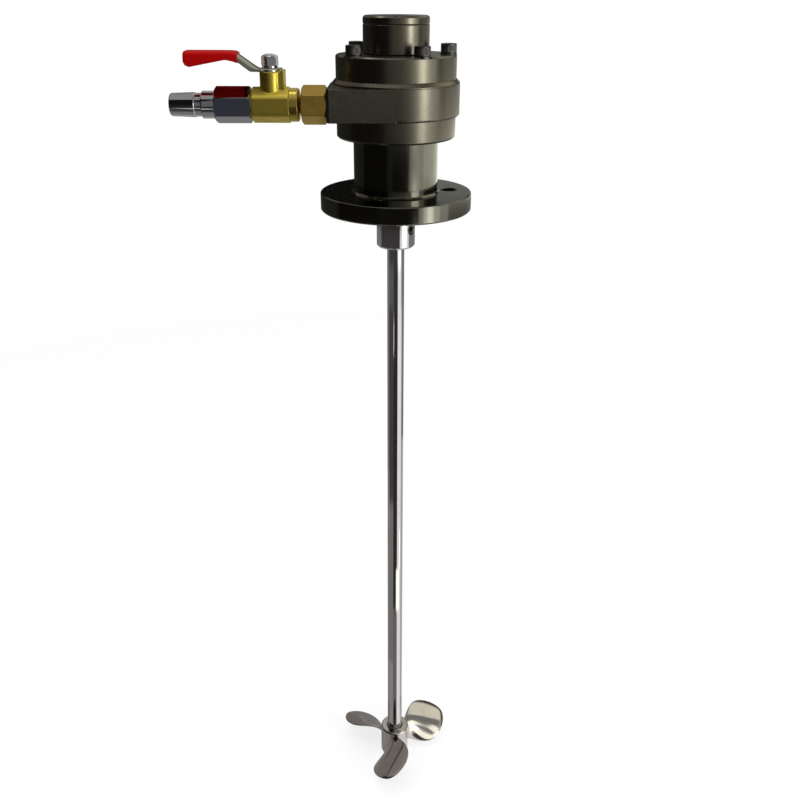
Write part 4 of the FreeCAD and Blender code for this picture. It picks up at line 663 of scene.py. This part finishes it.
LEVER_FOOT = STEM + Vector((0, 0, 75.05))
SLOPE = 0.7232
arm = []
for part in range(126):
    reach = -4.96 + 48.96 * part / 125
    crown = lesser(-lesser(-1.5, -(1.5 + SLOPE * (reach - 6.2)), 0.5), 9.6, 0.9)
    half = 4.5 if reach > 2.2 else math.sqrt(max(0.1, 25 - reach * reach))
    bottom = level_at([(-5, 0), (10, 0), (17.6, 5.7), (22.6, 6.8), (44, 3)], reach)
    ceiling = level_at([(-5, 0), (6.9, 0), (17.9, 7.95), (44, 8.1)], reach)
    arm.append(channel_section(reach, half, crown, bottom, max(ceiling, bottom), 1.5, 1.9, 0.15))
lever = skinned("lever_arm", arm)
worked(lever, [slab("ear", [(0, 3.95), (5.8, 3.95), (5.8, 6.35), (0, 6.35)], 0.01, 1.49),
               slab("ear", [(-6.35, -5.8), (-3.95, -5.8), (-3.95, 0), (-6.35, 0)], 0.01, 1.49)],
       "UNION")
lever.data.transform(Matrix.Translation(LEVER_FOOT))
finished(lever, "valve_handle", "lever_steel", plated_steel, "lever", crisp=40)

red_dip = surface("red_dip", (0.5, 0.0, 0.0), 0.32, 0.0, marks=0.0, cloud=0.06, tint=0.2,
                  grain=0.15, grain_size=0.9)
red_dip.node_tree.nodes["Principled BSDF"].inputs["Specular IOR Level"].default_value = 0.09
TIP_ROUNDING, RIM_ROUNDING = 1.8, 0.5
dip = []
for part in range(101):
    reach = 16.2 + 28.65 * (math.sin(math.pi * (part / 100 - 0.5)) + 1) / 2
    past_tip, before_rim = max(0, reach - 43.05), max(0, 16.7 - reach)
    drop = TIP_ROUNDING - math.sqrt(max(0, TIP_ROUNDING ** 2 - past_tip ** 2))
    top = lesser(2.55 + SLOPE * (reach - 6.2), 10.45, 1.0) - drop
    half = 5.35 - drop - RIM_ROUNDING + math.sqrt(max(0, RIM_ROUNDING ** 2 - before_rim ** 2))
    bottom = level_at([(16.2, 4.2), (17.6, 4.85), (22.6, 5.95), (42.5, 2.2), (44.85, 4.9)],
                      reach, 1.2)
    ceiling = 7.25 if 17.4 < reach < 41.5 else bottom
    dip.append(channel_section(reach, half, top, bottom, ceiling, 3.2, 2.2, 0.9))
grip = skinned("dipped_grip", dip)
grip.data.transform(Matrix.Translation(LEVER_FOOT))
finished(grip, "valve_handle", "red_grip", red_dip, "lever_grip", crisp=60)

chrome = surface("chrome", (0.66, 0.66, 0.68), 0.05, marks=0.02, cloud=0.02, tint=0.06, grain=0.04,
                 about=INLET_LEVEL)
nut_chrome = surface("nut_chrome", (0.68, 0.68, 0.69), 0.07, marks=0.02, cloud=0.03, tint=0.06,
                     grain=0.06)
washer = turned("small_washer", [(2.55, 76.55), (4.2, 76.55), (4.2, 78.2), (2.55, 78.2)], 0.35, 96)
washer.data.transform(Matrix.Translation(STEM))
finished(washer, "valve_handle", "lever_steel", nut_chrome, "lever_washer")
nut = turned("nut", [(0, 78.2), (4.3, 78.2), (4.6, 78.5)] + [
    (4.6 * math.cos(math.radians(lift)), 81.8 + 2.1 * math.sin(math.radians(lift)))
    for lift in range(0, 91, 6)], 0, 96)
worked(nut, [hexagon_bar(8, 70, 90, 20)], "INTERSECT")
nut.data.transform(Matrix.Translation(STEM))
finished(nut, "valve_handle", "chrome", nut_chrome, "dome_nut")


# Coupler plug
# Turned from one length of hexagon bar and chromed: the hexagon, a collar, the groove that the
# coupler's balls lock in, and the slightly tapered nose.

plug = turned("plug", [
    (2.75, 71.5), (6.1, 71.5), (6.55, 72), (6.55, 76.75), (8.4, 76.75), (9.68, 77.69),
    (9.68, 95.21), (8.4, 96.15), (7.15, 96.15, 0.1), (7.15, 103.15, 0.5), (6.1, 103.15, 0.4),
    (6.1, 106.8, 0.3), (6.45, 107.1), (5.98, 119.5), (5.35, 120.3, 0.3), (3.75, 120.3),
    (3.75, 76.75), (2.75, 75.75)], 0.12, 144)
worked(plug, [hexagon_bar(17, 60, 130, -3)], "INTERSECT")
finished(laid(plug), "motor", "chrome", chrome, "coupler_plug")


# Coupling sleeve and its set screws
# A polished stainless sleeve joins the motor shaft to the stirring shaft. Two headless screws with
# hexagon sockets clamp the shafts, a little below the surface of the sleeve.

polished_stainless = surface("polished_stainless", (0.68, 0.66, 0.67), 0.08, marks=0.008,
                             cloud=0.02, tint=0.08, grain=0.02)
sleeve = turned("sleeve", [
    (5.05, -22), (9.8, -22), (11, -20.8), (11, 25.8), (9.8, 27), (5.05, 27)], 0.2, 144, step=2.5)
SCREW_TURN, SCREW_LEVELS = -35, (-10.7, 17)
SCREW_WAY = on_circle(2, SCREW_TURN, 0)
worked(sleeve, [
    hole(on_circle(21.24, SCREW_TURN, level), -SCREW_WAY,
         [(0, -2), (3.4, -2), (3.4, 0), (3.05, 0.35), (3.05, 8), (0, 8)])
    for level in SCREW_LEVELS])
finished(sleeve, "stirrer", "stainless", polished_stainless, "coupling_sleeve")


def headless_screw(thread, length, socket):
    """A screw without a head, its top at the mark."""
    screw = turned("screw", [
        (0, -length), (thread / 2 - 0.8, -length), (thread / 2, -length + 0.8),
        (thread / 2, -0.5), (thread / 2 - 0.5, 0), (0, 0)], 0.1, 64)
    corner = socket / 2 / math.cos(math.pi / 6) + 0.02
    return worked(screw, [hole((0, 0, 0), DOWN, [
        (0, -1), (corner, -1), (corner, length / 2), (0, length / 2 + 0.4)],
        48, six_sided(socket))])


black_screws("sleeve_screws", headless_screw(6, 5.4, 3),
             [(on_circle(20.9, SCREW_TURN, level), SCREW_WAY) for level in SCREW_LEVELS],
             "stirrer", "sleeve_set_screws", 4)


# Stirring shaft
# A long round bar of polished stainless steel, its ends slightly chamfered.

finished(turned("long_shaft", [
    (0, -405), (4.5, -405), (5, -404.5), (5, 2.5), (4.5, 3), (0, 3)], 0.15, 96, step=12),
    "stirrer", "stainless", polished_stainless, "stirring_shaft")


# Propeller
# Three blades of polished stainless steel, each a part of a screw surface with a rounded tip,
# welded to the hub by hand, so that they sit at slightly different heights and angles.

blade_tree = bpy.data.node_groups.new("screw blade", "GeometryNodeTree")
named_inputs(blade_tree, *((name, "Float") for name in (
    "Hub", "Tip", "Pitch", "Root chord", "Chord", "Widest", "Fullness", "Sweep", "Root thickness",
    "Tip thickness", "Edge", "Camber", "Weld", "Twist", "Turn", "Level")), ("Material", "Material"))


def build_blade_tree(tree):
    """Bends a flat grid, one way along the blade and the other round its section, to the rule."""
    given = node(tree, "NodeGroupInput").outputs

    def figure(task, *terms):
        return node(tree, "ShaderNodeMath", dict(enumerate(terms)), operation=task).outputs[0]

    def share(value, low, high):
        """How far a value is from low to high, from 0 to 1."""
        return figure("MINIMUM", 1, figure("MAXIMUM", 0, figure(
            "DIVIDE", figure("SUBTRACT", value, low), figure("SUBTRACT", high, low))))

    along_steps, around_steps = 56, 72
    grid = node(tree, "GeometryNodeMeshGrid",
                {"Vertices X": along_steps + 1, "Vertices Y": around_steps + 1})
    split = node(tree, "ShaderNodeSeparateXYZ",
                 {"Vector": node(tree, "GeometryNodeInputPosition").outputs["Position"]})
    outwards = figure("ADD", split.outputs["X"], 0.5)
    around = figure("MULTIPLY", figure("ADD", split.outputs["Y"], 0.5), 2 * math.pi)
    # The first row closes the root inside the hub's wall
    opened = figure("MINIMUM", 1, figure("MULTIPLY", outwards, along_steps))
    run = figure("MAXIMUM", 0, figure("DIVIDE", figure("SUBTRACT", outwards, 1 / along_steps),
                                      1 - 1 / along_steps))
    inner = figure("SUBTRACT", given["Hub"], 1.6)
    radius = figure("ADD", inner, figure("MULTIPLY", figure("SUBTRACT", given["Tip"], inner),
                                         figure("SINE", figure("MULTIPLY", run, math.pi / 2))))
    widest = figure("MULTIPLY", given["Widest"], given["Tip"])
    rise = figure("SINE", figure("MULTIPLY", share(radius, given["Hub"], widest), math.pi / 2))
    fall = figure("POWER", share(radius, widest, given["Tip"]), given["Fullness"])
    closing = figure("POWER", figure("MAXIMUM", 0, figure("SUBTRACT", 1, fall)),
                     figure("DIVIDE", 1, given["Fullness"]))
    weld = figure("MULTIPLY", given["Weld"], figure("POWER", figure(
        "SUBTRACT", 1, share(radius, given["Hub"], figure("ADD", given["Hub"], 2.4))), 2))
    chord = figure("ADD", weld, figure("MULTIPLY", closing, figure(
        "ADD", given["Root chord"],
        figure("MULTIPLY", rise, figure("SUBTRACT", given["Chord"], given["Root chord"])))))
    outer = share(radius, given["Hub"], given["Tip"])
    thickness = figure("ADD", weld, figure("ADD", given["Root thickness"], figure(
        "MULTIPLY", outer, figure("SUBTRACT", given["Tip thickness"], given["Root thickness"]))))
    cosine, sine = figure("COSINE", around), figure("SINE", around)
    bulge = figure("MULTIPLY", sine, sine)
    half = figure("MULTIPLY", figure("TANH", figure("MULTIPLY", sine, 4)), figure(
        "MULTIPLY", figure("POWER", closing, 0.4), figure("MULTIPLY", 0.5, figure(
            "ADD", given["Edge"], figure("MULTIPLY", bulge,
                                         figure("SUBTRACT", thickness, given["Edge"]))))))
    normal = figure("MULTIPLY", opened, figure("ADD", half, figure(
        "MULTIPLY", given["Camber"], figure("MULTIPLY", chord, bulge))))
    across = figure("MULTIPLY", opened, figure("ADD", figure("MULTIPLY", given["Sweep"], outer),
                                               figure("MULTIPLY", cosine,
                                                      figure("MULTIPLY", chord, 0.5))))
    helix = figure("ADD", given["Twist"], figure(
        "ARCTAN2", given["Pitch"], figure("MULTIPLY", radius, 2 * math.pi)))
    c, s = figure("COSINE", helix), figure("SINE", helix)
    point = node(tree, "ShaderNodeCombineXYZ", {
        "X": radius,
        "Y": figure("SUBTRACT", figure("MULTIPLY", across, c), figure("MULTIPLY", normal, s)),
        "Z": figure("ADD", given["Level"], figure(
            "ADD", figure("MULTIPLY", across, s), figure("MULTIPLY", normal, c)))})
    bend = node(tree, "GeometryNodeSetPosition",
                {"Geometry": grid.outputs["Mesh"], "Position": point.outputs["Vector"]})
    about = node(tree, "ShaderNodeCombineXYZ", {"Z": given["Turn"]})
    turn = node(tree, "GeometryNodeTransform",
                {"Geometry": bend.outputs["Geometry"], "Rotation": about.outputs["Vector"]})
    seam = node(tree, "GeometryNodeMergeByDistance",
                {"Geometry": turn.outputs["Geometry"], "Distance": 0.002})
    hand_out(tree, seam.outputs["Geometry"], given["Material"])


build_blade_tree(blade_tree)
blade_stainless = surface("blade_stainless", (0.62, 0.58, 0.56), 0.13, marks=0.05, cloud=0.06,
                          tint=0.18, grain=0.2, grain_size=0.4, line_size=0.25)
propeller = turned("hub", [
    (5.05, -407), (8.25, -407), (9.75, -405.5), (9.75, -384.8), (8.95, -384), (5.85, -384),
    (5.05, -384.8)], 0.25, 144, step=3)
HUB_SCREW_TURN, HUB_SCREW_LEVEL = 88.85, -388.5
HUB_SCREW_WAY = on_circle(2, HUB_SCREW_TURN, 0)
worked(propeller, [hole(on_circle(19, HUB_SCREW_TURN, HUB_SCREW_LEVEL), -HUB_SCREW_WAY,
                        [(0, -2), (2.8, -2), (2.8, 0), (2.5, 0.3), (2.5, 6), (0, 6)])])
blades = []
for turn, twist, level in ((31.1, 2.6, -393.8), (146.6, -2.1, -395.7), (263.4, 3.3, -392.5)):
    blade = made_by(blade_tree, "blade", Hub=9.75, Tip=42.2, Pitch=98.0, Root_chord=13.5,
                    Chord=30.0, Widest=0.6, Fullness=1.72, Sweep=1.1, Root_thickness=3.2,
                    Tip_thickness=1.3, Edge=0.8, Camber=0.05, Weld=1.3, Twist=math.radians(twist),
                    Turn=math.radians(turn), Level=level, Material=blade_stainless)
    form = bmesh.new()
    form.from_mesh(blade.data)
    bpy.data.objects.remove(blade)
    blades.append(new_piece("blade", form))
together([propeller] + blades)
finished(propeller, "stirrer", "stainless", blade_stainless, "propeller")
black_screws("hub_screw", headless_screw(5, 4.3, 2.5),
             [(on_circle(18.7, HUB_SCREW_TURN, HUB_SCREW_LEVEL), HUB_SCREW_WAY)],
             "stirrer", "propeller_set_screw", 6)


# Pieces inside the motor and the valve
# They keep their own shapes: ground and hardened steel, woven phenolic vanes, a nitrile seal,
# white plastic seats and packing, and a hard-chromed brass ball.

ground_steel = surface("ground_steel", (0.55, 0.54, 0.52), 0.2, marks=0.07, grain=0.15)
rotor_steel = surface("rotor_steel", (0.42, 0.41, 0.4), 0.28, marks=0.08, grain=0.2)
phenolic = surface("phenolic", (0.16, 0.075, 0.03), 0.45, 0.0, marks=0.0, cloud=0.1, tint=0.35,
                   grain=0.7, grain_size=0.6)
nitrile = surface("nitrile", (0.018, 0.018, 0.02), 0.5, 0.0, marks=0.02, cloud=0.08, grain=0.5)
white_plastic = surface("white_plastic", (0.75, 0.74, 0.7), 0.35, 0.0, marks=0.02, cloud=0.05,
                        tint=0.06, grain=0.3, about=INLET_LEVEL)
for material, inside in (
        (ground_steel, ("lower_bearing_outer_ring", "upper_bearing_outer_ring", "dowel_pins",
                        "lower_bearing_inner_ring", "upper_bearing_inner_ring",
                        "lower_ball_set", "upper_ball_set", "valve_stem")),
        (spring_steel, ("bearing_circlip", "shaft_circlip")),
        (rotor_steel, ("rotor",)),
        (phenolic, ("vane_1", "vane_2", "vane_3", "vane_4")),
        (nitrile, ("shaft_seal",)),
        (white_plastic, ("ball_seats", "stem_packing")),
        (chrome, ("valve_ball",))):
    for cad_node in inside:
        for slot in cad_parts[cad_node].material_slots:
            slot.material = material


# Floor, cards, light and camera
# A pale floor just below the propeller, white all round, one soft lamp at the right and one above,
# and cards that only shiny surfaces see, so that the metal has something to mirror.

def stage_sheet(name, corners, faces, material):
    """A thin sheet of the studio, which is no part of the object."""
    mesh = bpy.data.meshes.new(name)
    mesh.from_pydata(corners, [], faces)
    mesh.materials.append(material)
    sheet = bpy.data.objects.new(name, mesh)
    bpy.context.collection.objects.link(sheet)
    return sheet


def seen_directly(tree):
    """1 for what the camera or a shiny surface sees, 0 for the light that falls on things."""
    path = node(tree, "ShaderNodeLightPath").outputs
    return node(tree, "ShaderNodeMath", {0: path["Is Camera Ray"], 1: path["Is Glossy Ray"]},
                operation="MAXIMUM").outputs[0]


floor_paint = bpy.data.materials.new("floor_paint")
floor_paint.use_nodes = True
tree = floor_paint.node_tree
paint = wire(tree, tree.nodes["Principled BSDF"],
             {"Base Color": (0.3, 0.3, 0.3, 1), "Roughness": 0.9})
FLOOR, FLOOR_GLOW = -0.4078, 0.74
lit = node(tree, "ShaderNodeMath", {0: seen_directly(tree), 1: FLOOR_GLOW}, operation="MULTIPLY")
glow = node(tree, "ShaderNodeEmission", {"Strength": lit.outputs[0]})
both = node(tree, "ShaderNodeAddShader", {0: paint.outputs[0], 1: glow.outputs[0]})
wire(tree, tree.nodes["Material Output"], {"Surface": both.outputs[0]})
stage_sheet("floor", [(-60, -60, FLOOR), (60, -60, FLOOR), (60, 60, FLOOR), (-60, 60, FLOOR)],
            [(0, 1, 2, 3)], floor_paint)


def card(name, start, end, low, high, shade, distance=1.0):
    """A curved card round the object, from one bearing to another, seen only in reflections.

    Bearings are in degrees from the camera's side, positive to its right. A shade of one number
    is a grey.
    """
    card_paint = bpy.data.materials.new(name)
    card_paint.use_nodes = True
    tree = card_paint.node_tree
    tree.nodes.remove(tree.nodes["Principled BSDF"])
    colour = shade if isinstance(shade, tuple) else (shade,) * 3
    plain = node(tree, "ShaderNodeEmission", {"Color": (*colour, 1)})
    wire(tree, tree.nodes["Material Output"], {"Surface": plain.outputs[0]})
    steps = max(2, round(abs(end - start) / 6))
    corners, faces = [], []
    for step in range(steps + 1):
        bearing = math.radians(start + (end - start) * step / steps)
        for height in (low, high):
            corners.append((distance * math.sin(bearing), -distance * math.cos(bearing), height))
    for step in range(steps):
        faces.append((2 * step, 2 * step + 2, 2 * step + 3, 2 * step + 1))
    sheet = stage_sheet(name, corners, faces, card_paint)
    sheet.visible_camera = False
    sheet.visible_diffuse = False
    sheet.visible_shadow = False
    return sheet


def flat_card(name, start, end, near, far, shade, level=FLOOR + 0.0008):
    """A level card, a part of a ring round the shaft, just over the floor unless told otherwise."""
    for corner in card(name, start, end, near, far, shade).data.vertices:
        reach = corner.co.z
        corner.co = (corner.co.x * reach, corner.co.y * reach, level)


card("front_upper_left", -96, -20, -0.1, 0.12, (0.02, 0.019, 0.015))
card("front_high_left", -96, -20, 0.12, 1.2, 0.008)
card("front_upper_middle", -20, -8, -0.1, 1.2, (0.15, 0.15, 0.16))
card("front_upper", -8, 12, -0.1, 1.2, (0.24, 0.235, 0.21))
card("front_upper_right", 12, 26, -0.1, 1.2, (0.34, 0.34, 0.31))
card("front_edge", 26, 38, -0.1, 1.2, (0.6, 0.6, 0.55))
card("strip_lamp", 45, 56, -0.09, 0.25, (6.8, 6.8, 6.5), 1.05)
card("above_lamp", 38, 62, 0.25, 1.2, 0.18)
card("above_gap", 62, 92, 0.25, 0.5, (0.45, 0.45, 0.4))
card("above_gap_high", 62, 90, 0.5, 1.2, (0.24, 0.24, 0.22))
card("low_lamp", 47, 57, -0.33, -0.19, (4.2, 4.2, 4.1), 0.99)
card("low_lamp_left", 41, 47, -0.33, -0.19, (2.4, 2.4, 2.3), 0.99)
card("low_lamp_edge", 34, 41, -0.33, -0.19, (1.0, 1.0, 0.96), 0.99)
card("low_lamp_right", 57, 68, -0.33, -0.19, (1.8, 1.8, 1.75), 0.99)
card("front_lower", -96, 36, -0.26, -0.1, (0.014, 0.013, 0.012))
card("front_blue", -24, -9, -0.2, -0.12, (0.04, 0.044, 0.054), 0.99)
card("front_low", -96, 25, -0.33, -0.26, (0.06, 0.057, 0.055))
card("front_lowest_left", -96, -28, -0.41, -0.33, 0.13)
card("front_lowest", -28, 30, -0.41, -0.33, (0.05, 0.045, 0.045))
card("left_side", -180, -96, -0.26, 0.36, (0.045, 0.045, 0.042))
card("left_above", -180, -96, 0.36, 1.2, (0.29, 0.26, 0.24))
card("left_low", -180, -96, -0.41, -0.26, 0.22)
card("right_line", 81, 96, -0.09, 0.25, 0.02, 0.98)
card("right_side", 93, 180, -0.09, 0.1, (0.5, 0.5, 0.46))
card("right_low", 36, 56, -0.2, -0.09, (0.6, 0.6, 0.58))
card("right_low_middle", 56, 80, -0.2, -0.09, (1.15, 1.15, 1.1))
card("right_low_far", 80, 180, -0.2, -0.09, (1.6, 1.6, 1.5))
card("right_lowest", 84, 180, -0.41, -0.2, (0.24, 0.24, 0.23))
card("back_wall", 93, 180, 0.1, 0.4, (0.05, 0.05, 0.045))
card("back_dark", 179, 205, 0.1, 0.4, 0.006, 0.99)
card("back_dark_right", 140, 179, 0.25, 0.4, 0.006, 0.99)
card("back_grey", 150, 179, 0.1, 0.25, (0.3, 0.31, 0.28), 0.99)
card("blade_light", 92, 135, 0.4, 1.2, (0.98, 0.97, 0.78))
card("back_above", 135, 200, 0.4, 1.2, (0.6, 0.59, 0.55), 0.99)
card("back_low", 100, 260, -0.407, -0.2, (0.23, 0.22, 0.21), 0.5)
card("blade_lamp", 16, 62, -0.369, -0.328, (1.7, 1.75, 1.5), 0.12)
card("blade_lamp_high", 62, 79, -0.328, -0.29, (1.7, 1.75, 1.5), 0.12)
card("blade_shade", -145, -106, -0.36, -0.25, (0.25, 0.225, 0.21), 0.2)
flat_card("ceiling", -180, 180, 0.0, 1.0, (0.32, 0.32, 0.31), 1.2)
card("nut_front", -14, -3, 0.066, 0.092, (0.2, 0.2, 0.19), 0.095)
card("nut_back", 186, 200, 0.06, 0.1, 0.03, 0.1)
nut_lamp = card("nut_lamp", 0, 6, 0.0, 0.1, 3.5)
for corner, (x, y) in zip(nut_lamp.data.vertices, [
        (x, y) for x in (-0.08, -0.066, -0.052) for y in (-0.016, 0.012)]):
    corner.co = (x, y, 0.2)
flat_card("floor_right", 90, 180, 0.02, 1.0, (0.52, 0.515, 0.51))
flat_card("floor_back", 180, 260, 0.0095, 0.3, (0.25, 0.245, 0.24))
flat_card("floor_back_middle", 180, 260, 0.3, 0.42, (0.5, 0.49, 0.46))
flat_card("floor_back_far", 180, 260, 0.42, 1.0, (0.24, 0.24, 0.235))
flat_card("floor_left_near", -100, -28, 0.0095, 0.1, (0.32, 0.31, 0.3))
flat_card("floor_left", -100, -28, 0.1, 0.35, (0.22, 0.215, 0.21))
flat_card("floor_left_far", -100, -28, 0.35, 1.0, (0.07, 0.068, 0.065))
flat_card("floor_front", -28, 30, 0.17, 1.0, (0.035, 0.03, 0.03))
flat_card("floor_near", -28, 30, 0.035, 0.17, (0.18, 0.17, 0.17))
flat_card("floor_nearest", -28, 30, 0.0095, 0.035, (0.06, 0.055, 0.05))
flat_card("floor_line", -27, -19, 0.78, 0.93, 1.0, FLOOR + 0.0028)

sky = bpy.data.worlds.new("white_room")
bpy.context.scene.world = sky
sky.use_nodes = True
tree = sky.node_tree
clear = node(tree, "ShaderNodeMath", {
    0: seen_directly(tree), 1: node(tree, "ShaderNodeLightPath").outputs["Is Transmission Ray"]},
    operation="MAXIMUM")
SKY_LIGHT = 0.7
strength = node(tree, "ShaderNodeMapRange",
                {"Value": clear.outputs[0], "To Min": SKY_LIGHT, "To Max": 1.0})
wire(tree, tree.nodes["Background"],
     {"Color": (1, 1, 1, 1), "Strength": strength.outputs["Result"]})


def soft_lamp(name, bearing, rise, distance, size, power):
    """A square lamp that faces the valve's height, by its bearing from the camera's side."""
    lamp = bpy.data.lights.new(name, "AREA")
    lamp.size, lamp.energy = size, power
    holder = bpy.data.objects.new(name, lamp)
    bpy.context.collection.objects.link(holder)
    way = Vector((math.sin(math.radians(bearing)) * math.cos(math.radians(rise)),
                  -math.cos(math.radians(bearing)) * math.cos(math.radians(rise)),
                  math.sin(math.radians(rise))))
    holder.location = way * distance
    holder.rotation_euler = way.to_track_quat("Z", "Y").to_euler()


soft_lamp("right_lamp", 54, 18, 1.3, 0.5, 4)
soft_lamp("top_lamp", -30, 75, 1.4, 0.8, 5)

camera = bpy.data.objects.new("camera", bpy.data.cameras.new("camera"))
bpy.context.collection.objects.link(camera)
SENSOR, PICTURE_PIXELS, FOCAL_PIXELS, TILT, ROLL = 36, 800, 890, 22.7, -0.14
camera.data.sensor_width = SENSOR
camera.data.lens = SENSOR * FOCAL_PIXELS / PICTURE_PIXELS
camera.data.shift_x, camera.data.shift_y = 0.0046, -0.05
camera.data.clip_start, camera.data.clip_end = 0.01, 200
camera.location = (0, -0.501, 0.1158)
camera.rotation_euler = (math.radians(90 - TILT), math.radians(ROLL), 0)
bpy.context.scene.camera = camera
bpy.context.scene.view_settings.view_transform = "Standard"
